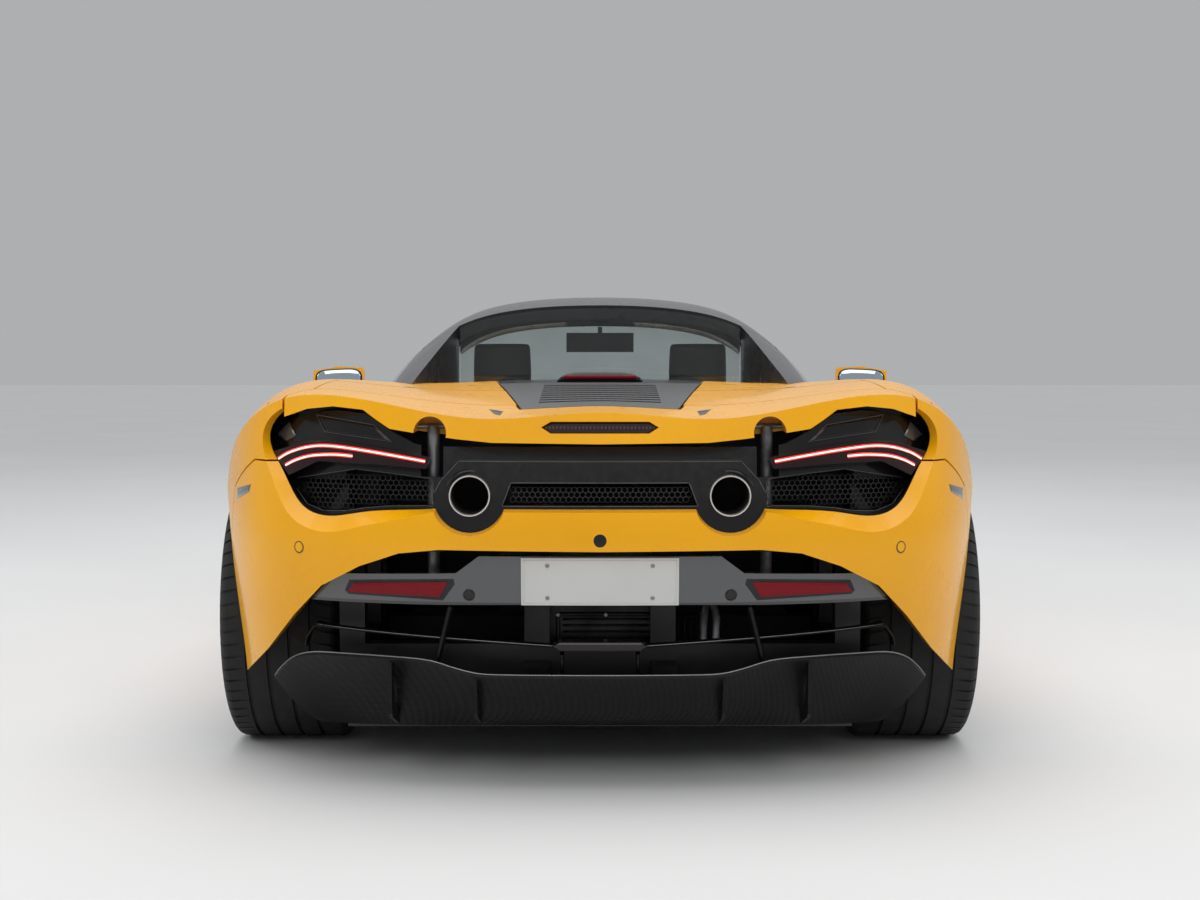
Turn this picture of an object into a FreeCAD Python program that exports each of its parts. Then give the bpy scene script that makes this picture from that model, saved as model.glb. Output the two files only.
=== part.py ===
import FreeCAD, Part
import math
import os
from FreeCAD import Placement, Rotation, Vector

# A mid-engined two-seat supercar with a folding hard top, shown with its roof up.
# Millimetres. X is the car's right, Y is forward, Z is up. The origin is on the ground, at mid
# length and mid width. Painted panels are cut from one body form, so that they run on into each
# other, and each shut line is a real gap.
doc = FreeCAD.newDocument("Supercar")

# Driving sizes, in millimetres and degrees
SIZES = [
    ("wheelbase", 2670), ("front_overhang", 1065), ("rear_overhang", 808),
    ("half_width", 965), ("roof_height", 1194), ("floor_height", 110),
    ("track_front", 1650), ("tyre_radius_front", 327), ("tyre_width_front", 245),
    ("rim_radius_front", 245), ("arch_gap_front", 38),
    ("track_rear", 1612), ("tyre_radius_rear", 345.5), ("tyre_width_rear", 305),
    ("rim_radius_rear", 257), ("arch_gap_rear", 40),
    ("shut_line", 4), ("moving_gap", 6), ("seat_gap", 0.3),
    ("skin", 30), ("glass", 6), ("lens", 4), ("frame_wall", 34), ("roof_wall", 42), ("header_wall", 60),
    ("tray_bottom", 104), ("tub_bottom", 115),
    ("tub_half", 540), ("cabin_half", 636), ("door_sill_height", 300), ("rear_wall", 622),
    ("door_front", 775), ("door_rear", -575), ("cabin_front", 900), ("cabin_rear", -600),
    ("door_bottom", 296), ("hinge_radius", 62),
    ("lid_rear", 1165), ("lid_front", 1960), ("lid_half", 452),
    ("deck_front", -1290), ("tonneau_rear", -1560), ("wing_front", -1935),
    ("exhaust_x", 298), ("exhaust_z", 697), ("exhaust_radius", 47), ("exhaust_wall", 3),
    ("exhaust_front", -1900), ("exhaust_length", 320), ("exhaust_bore_length", 170), ("exhaust_surround", 84),
    ("strut_x", 389), ("strut_y", -2105), ("strut_radius", 14), ("strut_foot", 470), ("wing_pin_radius", 6),
    ("wing_pin_half", 52), ("wing_pivot_height", 852),
    ("plate_width", 360), ("plate_height", 110), ("plate_bottom", 447),
    ("engine_width", 560), ("engine_front", -700), ("engine_rear", -1250), ("engine_bottom", 190),
    ("engine_top", 640), ("gearbox_width", 360), ("gearbox_rear", -1950), ("gearbox_bottom", 240),
    ("gearbox_top", 540), ("dash_half", 600), ("dash_front", 880), ("console_half", 85), ("cabin_floor", 150),
    ("disc_radius_front", 195), ("disc_radius_rear", 190), ("spindle_radius", 30),
    ("rim_spokes", 5), ("rim_window_depth", 60),
]
sheet = doc.addObject("Spreadsheet::Sheet", "Sizes")
for row, (alias, value) in enumerate(SIZES, 1):
    sheet.set(f"A{row}", alias)
    sheet.set(f"B{row}", str(value))
    sheet.setAlias(f"B{row}", alias)
doc.recompute()
s = {alias: float(sheet.get(alias)) for alias, _ in SIZES}

half = s["half_width"]
nose = (s["front_overhang"] + s["wheelbase"] + s["rear_overhang"]) / 2
tail = -nose
front_axle = nose - s["front_overhang"]
rear_axle = front_axle - s["wheelbase"]
gap = s["shut_line"]
moving = s["moving_gap"]
seat = s["seat_gap"]
arch_front = s["tyre_radius_front"] + s["arch_gap_front"]
arch_rear = s["tyre_radius_rear"] + s["arch_gap_rear"]
FAR = 3000
parts = []


def knots(poles, degree):
    """Clamped, evenly spaced knots for a row of poles."""
    spans = poles - degree
    return list(range(spans + 1)), [degree + 1] + [1] * (spans - 1) + [degree + 1]


def net_face(grid):
    """A smooth surface over a grid of poles, cubic where there are enough of them."""
    du = min(3, len(grid) - 1)
    dv = min(3, len(grid[0]) - 1)
    uk, um = knots(len(grid), du)
    vk, vm = knots(len(grid[0]), dv)
    surface = Part.BSplineSurface()
    surface.buildFromPolesMultsKnots(grid, um, vm, uk, vk, False, False, du, dv)
    return surface


def net_solid(stations, corners):
    """A closed form through closed sections of poles, creased along the pole numbers in corners."""
    n = len(stations[0])
    faces, first, last = [], [], []
    for a, b in zip(corners, corners[1:] + [corners[0] + n]):
        surface = net_face([[row[i % n] for i in range(a, b + 1)] for row in stations])
        faces.append(surface.toShape())
        u0, u1, _, _ = surface.bounds()
        first.append(surface.uIso(u0).toShape())
        last.append(surface.uIso(u1).toShape())
    for edges in (first, last):
        faces.append(Part.Face(Part.Wire(edges)))
    shell = Part.makeShell(faces)
    shell.sewShape()
    solid = Part.makeSolid(shell)
    if solid.Volume < 0:
        solid.reverse()
    return solid


def mirrored(points):
    """A symmetric closed section: the right half from bottom to top centre, then its mirror image."""
    left = [Vector(-p.x, p.y, p.z) for p in reversed(points) if p.x > 0]
    return list(points) + left


def flip(shape):
    return shape.mirror(Vector(0, 0, 0), Vector(1, 0, 0))


def outline(points, place):
    """A closed face of lines and arcs. A point with four numbers is an arc's middle and its end."""
    edges = []
    start = place(*points[0])
    for p in points[1:] + [points[0]]:
        end = place(*p[-2:])
        if len(p) == 4:
            edges.append(Part.Arc(start, place(*p[:2]), end).toShape())
        elif (end - start).Length > 1e-6:
            edges.append(Part.LineSegment(start, end).toShape())
        start = end
    return Part.Face(Part.Wire(edges))


def plan(points, low=-100, high=1500):
    """A prism along Z over an outline of (x, y)."""
    return outline(points, lambda x, y: Vector(x, y, low)).extrude(Vector(0, 0, high - low))


def side(points, low=-FAR, high=FAR):
    """A prism along X over an outline of (y, z)."""
    return outline(points, lambda y, z: Vector(low, y, z)).extrude(Vector(high - low, 0, 0))


def rear(points, low=-FAR, high=FAR):
    """A prism along Y over an outline of (x, z)."""
    return outline(points, lambda x, z: Vector(x, low, z)).extrude(Vector(0, high - low, 0))


def block(x0, x1, y0, y1, z0, z1):
    return Part.makeBox(x1 - x0, y1 - y0, z1 - z0, Vector(x0, y0, z0))


def tube_x(radius, x0, x1, y, z):
    return Part.makeCylinder(radius, x1 - x0, Vector(x0, y, z), Vector(1, 0, 0))


def both(shape):
    """A piece and its mirror image, as two solids."""
    return Part.makeCompound([shape, flip(shape)])


def add(name, shape):
    """A sub-part whose shape is worked out here."""
    item = doc.addObject("Part::Feature", name)
    item.Label = name
    item.Shape = shape
    item.Placement = Placement()
    parts.append(item)
    return item


def keep(item):
    """Makes a finished object one of the sub-parts."""
    item.Label = item.Name
    parts.append(item)
    return item


def tied(kind, name, turn=Rotation(), **sizes):
    """A simple solid whose sizes, and place x, y, z, follow the sheet."""
    item = doc.addObject(f"Part::{kind}", name)
    item.Placement = Placement(Vector(), turn)
    for key, size in sizes.items():
        item.setExpression(f"Placement.Base.{key}" if key in "xyz" else key, size)
    return item


def joined(name, *pieces):
    item = doc.addObject("Part::MultiFuse", name)
    item.Shapes = list(pieces)
    return item


def as_pair(name, piece):
    """A piece and its mirror image on the car's left side, as one sub-part."""
    image = doc.addObject("Part::Mirroring", f"{name}_left")
    image.Source = piece
    image.Normal = Vector(1, 0, 0)
    item = doc.addObject("Part::Compound", name)
    item.Links = [piece, image]
    return keep(item)


def drawing(body, plane, loops, lift=0.0):
    """A sketch of closed loops of straight lines on one of a body's own planes, lifted off it."""
    item = body.newObject("Sketcher::SketchObject", f"{body.Name}_sketch")
    support = [o for o in body.Origin.OriginFeatures if o.Role == plane][0]
    item.AttachmentSupport = [(support, "")]
    item.MapMode = "FlatFace"
    item.AttachmentOffset = Placement(Vector(0, 0, lift), Rotation())
    for loop in loops:
        for a, b in zip(loop, loop[1:] + loop[:1]):
            item.addGeometry(Part.LineSegment(Vector(a[0], a[1], 0), Vector(b[0], b[1], 0)))
    item.Visibility = False
    return item


def part_body(name):
    return keep(doc.addObject("PartDesign::Body", name))


def padded(name, plane, loop, start, length):
    """A prism over a drawn outline. Its start and its length follow the sheet."""
    body = part_body(name)
    pad = body.newObject("PartDesign::Pad", f"{name}_pad")
    pad.Profile = drawing(body, plane, [loop])
    pad.Profile[0].setExpression("AttachmentOffset.Base.z", start)
    pad.setExpression("Length", length)
    body.Tip = pad
    return body


def turned(body, points):
    """A section turned round the body's X axis."""
    turn = body.newObject("PartDesign::Revolution", f"{body.Name}_turn")
    turn.Profile = drawing(body, "XY_Plane", [points])
    turn.ReferenceAxis = (turn.Profile[0], ["H_Axis"])
    turn.Angle = 360
    body.Tip = turn
    return turn


# The body's form. Each station is a distance along the car and eight poles of the right half,
# from the floor's edge over the flank and the crown to the middle. An x is how far the pole lies
# inside the half width, apart from the middle's, which is 0.
BODY = [
    # y, (edge), (rocker), (flank), (shoulder), (crown), (inner), (hollow), middle z
    (nose + 80, (165, 110), (135, 200), (125, 330), (175, 430), (325, 500), (585, 505), (780, 500), 500),
    (nose - 220, (115, 110), (85, 220), (62, 380), (100, 520), (262, 600), (565, 575), (770, 566), 565),
    (front_axle + 480, (75, 110), (50, 240), (28, 430), (62, 615), (225, 705), (525, 655), (750, 640), 640),
    (front_axle + 95, (50, 110), (30, 260), (8, 470), (46, 690), (215, 782), (505, 738), (740, 732), 732),
    (front_axle - 305, (50, 110), (35, 270), (12, 500), (55, 730), (205, 792), (485, 800), (730, 812), 816),
    (front_axle - 755, (55, 110), (70, 280), (46, 530), (66, 745), (195, 805), (465, 800), (710, 800), 800),
    (0, (55, 110), (85, 290), (50, 560), (60, 765), (185, 815), (445, 810), (690, 810), 810),
    (rear_axle + 965, (50, 110), (75, 300), (28, 600), (45, 800), (170, 870), (425, 866), (685, 880), 885),
    (rear_axle + 510, (30, 130), (22, 340), (-2, 640), (22, 840), (150, 950), (405, 926), (685, 950), 958),
    (rear_axle, (30, 150), (-6, 400), (-12, 640), (16, 802), (140, 985), (400, 928), (680, 930), 930),
    (rear_axle - 440, (55, 180), (12, 400), (0, 640), (38, 800), (170, 960), (405, 930), (690, 890), 908),
    (tail - 60, (120, 200), (80, 400), (70, 620), (125, 770), (240, 905), (400, 925), (690, 838), 905),
]


def body_form(drop=0.0):
    stations = []
    for y, *poles, middle in BODY:
        right = [Vector(half - inset, y, z - drop) for inset, z in poles]
        stations.append(mirrored(right + [Vector(0, y, middle - drop)]))
    return net_solid(stations, [0, 14])


# How the nose and the tail curve: y of the skin on the middle line at each height, and how far it
# falls back at each x.
NOSE_HEIGHT = [(0, -60), (120, -15), (250, 3), (360, 8), (470, -30), (600, -190), (760, -520)]
NOSE_WIDTH = [(0, 0), (330, 12), (600, 95), (820, 330), (900, 560), (1060, 1000)]
TAIL_HEIGHT = [(0, 150), (160, 110), (330, 48), (480, 2), (620, -8.6), (740, 18), (900, 48), (1100, 90)]
TAIL_WIDTH = [(0, 0), (330, 10), (600, 70), (790, 190), (900, 370), (960, 620), (1060, 1000)]


forms = {}


def form(drop=0.0):
    """The body's form lowered by drop, made once."""
    if drop not in forms:
        forms[drop] = body_form(drop)
    return forms[drop]


noses = {}
tails = {}


def beyond_nose(shift=0.0):
    """The space in front of the nose's skin, moved inwards by shift."""
    if shift not in noses:
        columns = [(-x, back) for x, back in reversed(NOSE_WIDTH) if x] + NOSE_WIDTH
        grid = [[Vector(x, nose + dy - back - shift, z) for x, back in columns] for z, dy in NOSE_HEIGHT]
        noses[shift] = net_face(grid).toShape().extrude(Vector(0, FAR, 0))
    return noses[shift]


def beyond_tail(shift=0.0):
    """The space behind the tail's skin, moved inwards by shift."""
    if shift not in tails:
        columns = [(-x, back) for x, back in reversed(TAIL_WIDTH) if x] + TAIL_WIDTH
        grid = [[Vector(x, tail + dy + back + shift, z) for x, back in columns] for z, dy in TAIL_HEIGHT]
        tails[shift] = net_face(grid).toShape().extrude(Vector(0, -FAR, 0))
    return tails[shift]


outer = form().cut(beyond_nose()).cut(beyond_tail())


def panel(region, thick=None):
    """The body's skin over a region, or the whole body there where no thickness is given."""
    shape = outer.common(region)
    return shape.cut(form(thick)) if thick else shape


def sides_joined(line):
    """A plan outline from a line of the right side and its mirror image."""
    return [(x, y) for x, y in line] + [(-x, y) for x, y in reversed(line)]


# The greenhouse. Each station has a distance along the car and four poles of the right half, from
# the foot over the waist and the rail to the roof, and the height in the middle.
GLASSHOUSE = [
    (front_axle, (420, 560), (380, 640), (300, 670), (160, 690), 695),
    (front_axle - 130, (570, 590), (530, 700), (440, 745), (240, 770), 776),
    (front_axle - 340, (665, 640), (640, 760), (540, 842), (300, 892), 905),
    (front_axle - 610, (725, 640), (700, 800), (590, 950), (320, 1045), 1062),
    (front_axle - 870, (745, 640), (722, 825), (568, 1048), (330, 1142), 1158),
    (front_axle - 1140, (748, 640), (724, 835), (545, 1092), (330, 1182), 1197),
    (rear_axle + 1180, (742, 640), (720, 860), (535, 1105), (320, 1188), 1204),
    (rear_axle + 820, (728, 640), (704, 890), (522, 1070), (310, 1150), 1165),
    (rear_axle + 450, (700, 640), (678, 890), (505, 1015), (300, 1080), 1090),
    (rear_axle + 100, (670, 640), (645, 880), (480, 960), (290, 1000), 1006),
    (rear_axle - 300, (600, 640), (580, 830), (440, 880), (270, 900), 905),
]
glasshouses = {}


def greenhouse(inset=0.0):
    """The greenhouse with each pole moved in by inset, square to its section."""
    if inset in glasshouses:
        return glasshouses[inset]
    stations = []
    for y, *poles, middle in GLASSHOUSE:
        right = [Vector(x, y, z) for x, z in poles] + [Vector(0, y, middle)]
        moved = []
        for i, p in enumerate(right):
            if i == 0:
                moved.append(Vector(p.x - inset, y, p.z))
                continue
            after = right[i + 1] if i + 1 < len(right) else Vector(-right[i - 1].x, y, right[i - 1].z)
            along = (after - right[i - 1]).normalize()
            moved.append(p - Vector(along.z, 0, -along.x) * inset)
        stations.append(mirrored(moved))
    glasshouses[inset] = net_solid(stations, [0, 8])
    return glasshouses[inset]


def shell(region, thick):
    """A layer of the greenhouse over a region."""
    return greenhouse().common(region).cut(greenhouse(thick))


# Wheel wells
def wheel_well(grow=0.0):
    front = tube_x(arch_front + grow, s["tub_half"] - grow, FAR, front_axle, s["tyre_radius_front"])
    back = tube_x(arch_rear + grow, s["rear_wall"] - grow, FAR, rear_axle, s["tyre_radius_rear"])
    return front.fuse([flip(front), back, flip(back)])


wells = wheel_well()

# The door's hinge line: a foot and a direction. It leans in and back, so that the open door rises.
HINGE_FOOT = Vector(half - 65, front_axle - 451, 330)
HINGE_WAY = Vector(-50, -115, 410).normalize()
hinge_frame = Placement(HINGE_FOOT, Rotation(Vector(0, 0, 1), HINGE_WAY))


def at_hinge(shape):
    """A shape made along Z, put on the right door's hinge line."""
    moved = shape.copy()
    moved.Placement = hinge_frame.multiply(shape.Placement)
    return moved


def door_space(grow):
    """What the right door and its swing need: all behind the hinge line, and a drum round it."""
    slope = (HINGE_WAY.y / HINGE_WAY.z)
    lean = [(HINGE_FOOT.y + slope * (z - HINGE_FOOT.z) + grow, z) for z in (-100, 1200)]
    behind = side([(-700, -100), lean[0], lean[1], (-700, 1200)], 0, 1200)
    drum = at_hinge(Part.makeCylinder(70 + grow, 900, Vector(0, 0, -200)))
    inner = 660 - 4 * grow
    end = s["door_rear"] + 75 - 2 * grow
    floor = s["door_bottom"] - grow
    walls = plan([(inner, end), (1100, end - 110), (1100, 1100), (inner, 1100)], floor, 1200)
    return behind.fuse(drum).common(walls)


door_room = door_space(moving)
door_rooms = door_room.fuse(flip(door_room))

# Carbon tub: floor, sills, bulkheads and the posts that carry the doors
cabin = block(-s["cabin_half"], s["cabin_half"], s["cabin_rear"], s["cabin_front"] - 20, 150, 1500)
tub = form(s["skin"] + seat).common(block(-868, 868, -640, 920, 115, 1200)).cut(cabin)
tub = tub.cut(door_rooms)
tub_zone = block(-868 - seat, 868 + seat, -640 - seat, 920 + seat, 0, 1200).common(form(s["skin"]))
lug_one = Part.makeBox(115, 18, 12, Vector(-115, -9, 66)).fuse(Part.makeBox(25, 100, 12, Vector(-115, -9, 66)))
lug_one = lug_one.fuse(Part.makeCylinder(9, 40, Vector(0, 0, 52)))
lug_two = lug_one.copy()
lug_two.translate(Vector(0, 0, 250))
lugs = at_hinge(lug_one.fuse(lug_two))
tub = tub.fuse([lugs, flip(lugs)])
tub = tub.cut(wells)
add("chassis_tub", tub)

# Front structure: the luggage tub and the crash boxes
front_room = block(-400, 400, 1200, 1850, 300, 1000)
front = form(s["skin"] + moving).cut(beyond_nose(60 + seat))
front = front.common(block(-s["tub_half"] + seat, s["tub_half"] - seat, 920 + seat, 2160, 130, 900))
front = front.cut(front_room).cut(block(-500, 500, 900, 1180, 600, 900))
lid_hinge = Vector(0, s["lid_rear"] + 3, 748)
lid_relief = tube_x(18, -450, 450, lid_hinge.y, lid_hinge.z)
for x in (-300, 300):
    front = front.fuse([
        block(x - 6, x + 6, lid_hinge.y - 8, lid_hinge.y + 8, 560, lid_hinge.z),
        tube_x(8, x - 6, x + 6, lid_hinge.y, lid_hinge.z), tube_x(4, x - 30, x + 30, lid_hinge.y, lid_hinge.z),
    ])
add("front_structure", front)

# Flat floor under the whole car
floor_plan = [
    (-620, -1900), (620, -1900), (620, -1080), (850, -1080), (850, 800), (530, 860), (530, 1560), (700, 1690),
    (-700, 1690), (-530, 1560), (-530, 860), (-850, 800), (-850, -1080), (-620, -1080),
]
padded("undertray", "XY_Plane", floor_plan, "Sizes.tray_bottom", "Sizes.tub_bottom - Sizes.seat_gap - Sizes.tray_bottom")

# Engine and gearbox
crankcase = tied(
    "Box", "crankcase", x="-Sizes.engine_width / 2", y="Sizes.engine_rear", z="Sizes.engine_bottom",
    Length="Sizes.engine_width", Width="Sizes.engine_front - Sizes.engine_rear",
    Height="Sizes.engine_top - Sizes.engine_bottom",
)
gearbox = tied(
    "Box", "gearbox", x="-Sizes.gearbox_width / 2", y="Sizes.gearbox_rear", z="Sizes.gearbox_bottom",
    Length="Sizes.gearbox_width", Width="Sizes.engine_rear - Sizes.gearbox_rear",
    Height="Sizes.gearbox_top - Sizes.gearbox_bottom",
)
keep(joined("engine_block", crankcase, gearbox))

# Rear frame: rails either side of the engine, cross beams, and what holds the deck and the tail
skin_limit = form(s["skin"] + seat)
BEAMS = [
    # x0, x1, y0, y1, z0, z1 of the right side's beams
    (560, 620, -2040, -641, 240, 330), (560, 620, -2040, -1980, 330 + seat, 620),
    (560, 620, -1700, -1640, 330 + seat, 850), (560, 620, -1570, -1357, 180, 240 - seat),
    (560, 620, -1570, -1357, 330 + seat, 500), (180 + seat, 560 - seat, -1500, -1440, 260, 320),
]
CROSS_BEAMS = [
    # x0, x1, y0, y1, z0, z1
    (-560 + seat, 560 - seat, -690, -641, 240, 300), (-560 + seat, 560 - seat, -2040, -1980, 250, 330),
]
BRACKETS = [
    # y of the front face, z0, z1, how deep below the tail's skin it ends
    (-2030, 470, 500, 60 + seat), (-2040 - seat, 255, 290, 60 + seat),
]
beams = [block(*row) for row in CROSS_BEAMS]
for row in BEAMS:
    beams += [block(*row), flip(block(*row))]
back_beam = block(-560 + seat, 560 - seat, -2040, -1990, 560, 620)
top_beam = block(-620, 620, -1700, -1640, 850 + seat, 1000).common(skin_limit)
tonneau_hinge = Vector(0, s["tonneau_rear"] + 12, 921)
lug_side = [
    (-1556, 921), (-1540, 921), (-1540, 880), (-1660, 855), (-1660, 880), (-1580, 893), (-1556, 893),
]
for x in (-500, 500):
    top_beam = top_beam.fuse([
        side(lug_side, x - 6, x + 6), tube_x(8, x - 6, x + 6, tonneau_hinge.y, tonneau_hinge.z),
        tube_x(4, x - 30, x + 30, tonneau_hinge.y, tonneau_hinge.z),
    ])
for x in (-s["strut_x"], s["strut_x"]):
    sleeve = block(x - 24, x + 24, s["strut_y"] - 26, -2030, 560, 620)
    bore = Part.makeCylinder(s["strut_radius"] + seat, 300, Vector(x, s["strut_y"], 450))
    back_beam = back_beam.fuse(sleeve).cut(bore)
for x in (-150, 150):
    back_beam = back_beam.fuse(block(x - 30, x + 30, -2300, -2030, 590, 618).cut(beyond_tail(100 + seat)))
    post = block(x - 30, x + 30, -2040, -1990, 330 + seat, 560 - seat)
    for front_y, z0, z1, deep in BRACKETS:
        bracket = block(x - 30, x + 30, -2300, front_y, z0, z1).cut(beyond_tail(deep))
        if front_y > -2040:
            post = post.fuse(bracket)
        else:
            beams.append(bracket)
    beams.append(post)
add("rear_frame", Part.makeCompound(beams + [top_beam, back_beam]))

# Front bumper, with the intakes and the lamp pockets cut from it
bumper_side = [(1300, -50), (2500, -50), (2500, 900), (2020, 900), (1990, 600), (1880, 565), (1480, 548), (1300, 548)]
bumper_zone = side(bumper_side).fuse(block(-333, 333, s["lid_front"] + 10, 2500, -50, 900))
core = form(s["skin"]).cut(beyond_nose(60))
bumper = panel(bumper_zone).cut(core.common(block(-700, 700, 1300, 2500, 0, 900)))
bumper = bumper.cut(block(-1200, 1200, 1300, 2500, -50, 114 + seat)).cut(wells)
bumper = bumper.cut(plan(sides_joined([(446, 1150), (476, 1400), (336, s["lid_front"] + 10)]), 400, 1000))
intake = rear([(-400, 150), (400, 150), (430, 200), (400, 300), (-400, 300), (-430, 200)], 1900, 2500)
corner = rear([(480, 170), (800, 190), (850, 340), (740, 372), (560, 320)], 1700, 2500)
intakes = intake.fuse([corner, flip(corner)])
bumper = bumper.cut(intakes.cut(beyond_nose(-500)).cut(form(0).cut(beyond_nose(140))))
lamp_plan = [(520, 2140), (600, 1990), (700, 1800), (850, 1700), (880, 1780), (800, 1960), (660, 2110)]
lamp_hole = plan(lamp_plan, 380, 900)
lamp_plan_in = [(526, 2130), (604, 1993), (704, 1806), (848, 1708), (873, 1780), (796, 1957), (657, 2104)]
lamp_fill = plan(lamp_plan_in, 384, 900)
pockets = lamp_hole.fuse(flip(lamp_hole)).cut(form(60).cut(beyond_nose(60)))
bumper = bumper.cut(pockets).cut(Part.makeCylinder(10, 400, Vector(-250, 2000, 352), Vector(0, 1, 0)))
add("front_bumper", bumper)
lamp_all = outer.common(lamp_fill).cut(form(60 - seat).cut(beyond_nose(60 - seat)))
under_lens = form(4).cut(beyond_nose(4))
lens = lamp_all.cut(under_lens)
lamp_floor = Part.makeBox(900, 900, 900, Vector(400, 1500, 0)).common(form(44).cut(beyond_nose(44)))
room_face = outline(lamp_plan_in, lambda x, y: Vector(x, y, 384)).makeOffset2D(-11)
lamp_room = room_face.extrude(Vector(0, 0, 600)).cut(lamp_floor)
housing = lamp_all.common(form(4 + seat).cut(beyond_nose(4 + seat))).cut(lamp_room)
for x, y, radius in ((640, 2000, 27), (712, 1905, 27), (782, 1820, 22)):
    barrel = Part.makeCylinder(radius, 500, Vector(x, y - 250, 420), Vector(0.12, 0.85, 0.5))
    barrel = barrel.cut(Part.makeCylinder(radius - 5, 500, Vector(x, y - 250, 420), Vector(0.12, 0.85, 0.5)).cut(form(34)))
    housing = housing.fuse(barrel.common(lamp_all).common(form(14).cut(beyond_nose(14))))
add("headlamps", both(housing))
add("headlamp_lenses", both(lens))

# Splitter under the bumper
splitter = form(12).common(block(-1000, 1000, 1695, 2400, 90, 114)).cut(beyond_nose()).cut(wells)
add("front_splitter", splitter)

# Grilles in the front intakes
grille_layer = form(20).cut(beyond_nose(40)).cut(form(20).cut(beyond_nose(50)))
grilles = grille_layer.common(intake)
grilles = grilles.fuse(grille_layer.common(corner.fuse(flip(corner))))
add("front_grilles", grilles)

# Front fenders
lid_line = [(440, s["lid_rear"] - 4), (470, 1400), (330, s["lid_front"] + 5)]
fender_plan = plan([
    (646, 500), (646, 896), (444, 896), (444, 1151), (446, 1157), (476, 1400), (337, 1970), (337, 2500),
    (1200, 2500), (1200, 500),
])
fender_side = side([(500, 296), (786, 296), (786, 110), (2500, 110), (2500, 1000), (500, 1000)])
fender = panel(fender_plan).common(fender_side)
fender = fender.cut(form(s["skin"]).common(block(0, s["tub_half"] + seat, 890, 2400, 0, 900)))
fender = fender.cut(tub_zone)
seam = side(bumper_side)
for shift in (Vector(0, -gap, 0), Vector(0, 0, gap), Vector(0, -gap, gap)):
    wide = seam.copy()
    wide.translate(shift)
    fender = fender.cut(wide)
fender = fender.cut(door_room).cut(wells).cut(pockets)
add("front_fenders", both(fender))

# Front lid, over the luggage tub
lid_plan = plan([(-x, y) for x, y in lid_line] + [(x, y) for x, y in reversed(lid_line)])
lid = panel(lid_plan, s["skin"])
for x in (-300, 300):
    lid = lid.cut(block(x - 14, x + 14, lid_hinge.y - 30, lid_hinge.y + 16, 600, 900))
    lid = lid.cut(tube_x(4 + seat, x - 34, x + 34, lid_hinge.y, lid_hinge.z))
add("front_lid", lid)

# Cowl, below the windscreen
cowl = panel(block(-440, 440, 900, s["lid_rear"] - 10, 0, 1000), s["skin"]).cut(lid_relief)
add("cowl_panel", cowl)

# Windscreen, its frame and the roof panel
pillar_out = [(552, 176), (612, 480), (650, 700), (655, 960)]
pillar_in = [(500, 250), (556, 480), (590, 700), (560, 900), (520, 1010)]
screen_edge = [(494, 254), (550, 484), (584, 700), (554, 900), (500, 1060), (300, 1240)]


above = form(-seat)
frame_plan = plan(sides_joined([(552, 184), (612, 480), (650, 700), (655, 960), (500, 1100), (300, 1240)]))
frame_hole = plan(sides_joined(screen_edge))
frame_all = shell(frame_plan, s["frame_wall"]).cut(plan(sides_joined([(x + 4, y - 4) for x, y in screen_edge])))
header = shell(block(-490, 490, 184, 250, 700, 1500), 60)
flange = greenhouse(s["roof_wall"] + seat).cut(greenhouse(60)).common(block(-480, 480, 150, 186, 700, 1500))
add("windscreen_frame", frame_all.fuse([header, flange]).cut(above))
add("windscreen", shell(frame_hole, s["glass"]).cut(above))
roof = shell(block(-548, 548, -600, 180, 700, 1500), s["roof_wall"])
add("roof_panel", roof)

# Rear window, standing on the rear bulkhead between the buttresses
window = block(-430, 430, -630, -624, 700, 1500).common(greenhouse(6)).cut(form(s["skin"]))
add("rear_window", window)

# Doors
glass_zone = plan([(554, -598), (554, 176), (618, 480), (646, 642), (800, 642), (800, -598)], 742, 1500)
standing = block(0, 1200, 618, 1100, 0, 1200).fuse(block(0, 1200, -1000, -500, 0, 1200))
door_pane = shell(glass_zone, s["glass"]).cut(form(-moving).common(standing))
slot = greenhouse(-1).cut(greenhouse(s["glass"] + 1)).common(block(500, 900, -640, 900, 742 - seat, 1500))
door = panel(door_space(0)).cut(slot).cut(block(0, 1200, -900, 900, 0, s["door_bottom"]))
cuts = []
for lift in (0, 250):
    cuts.append(at_hinge(Part.makeBox(134, 116, 24, Vector(-120, -16, 60 + lift))))
    cuts.append(at_hinge(Part.makeCylinder(9 + seat, 46, Vector(0, 0, 49 + lift))))
door_foot = rear([(600, -100), (600, 378), (half, 302), (1200, 302), (1200, -100)], -900, 900)
door_pocket = block(600, 790, -400, 640, 360, 650)
door = door.cut(Part.makeCompound(cuts)).cut(wells).cut(door_foot).cut(door_pocket)
mirror_arm = Part.makeLoft([
    outline([(626, 728), (658, 728), (658, 756), (626, 756)], lambda y, z: Vector(840, y, z)).OuterWire,
    outline([(694, 871), (726, 871), (726, 889), (694, 889)], lambda y, z: Vector(930, y, z)).OuterWire,
], True)
mirror_shell = Part.makeLoft([
    outline([(690, 862), (696, 950), (740, 940), (752, 905), (740, 868)], lambda y, z: Vector(892, y, z)).OuterWire,
    outline([(690, 855), (692, 955), (760, 948), (780, 905), (760, 862)], lambda y, z: Vector(985, y, z)).OuterWire,
    outline([(690, 872), (694, 938), (730, 930), (738, 905), (730, 880)], lambda y, z: Vector(1080, y, z)).OuterWire,
], True, True)
mirror = mirror_shell.fuse(mirror_arm)
add("door_right", door.fuse(mirror))
add("door_left", flip(door.fuse(mirror)))
add("door_glass_right", door_pane)
add("door_glass_left", flip(door_pane))

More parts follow.
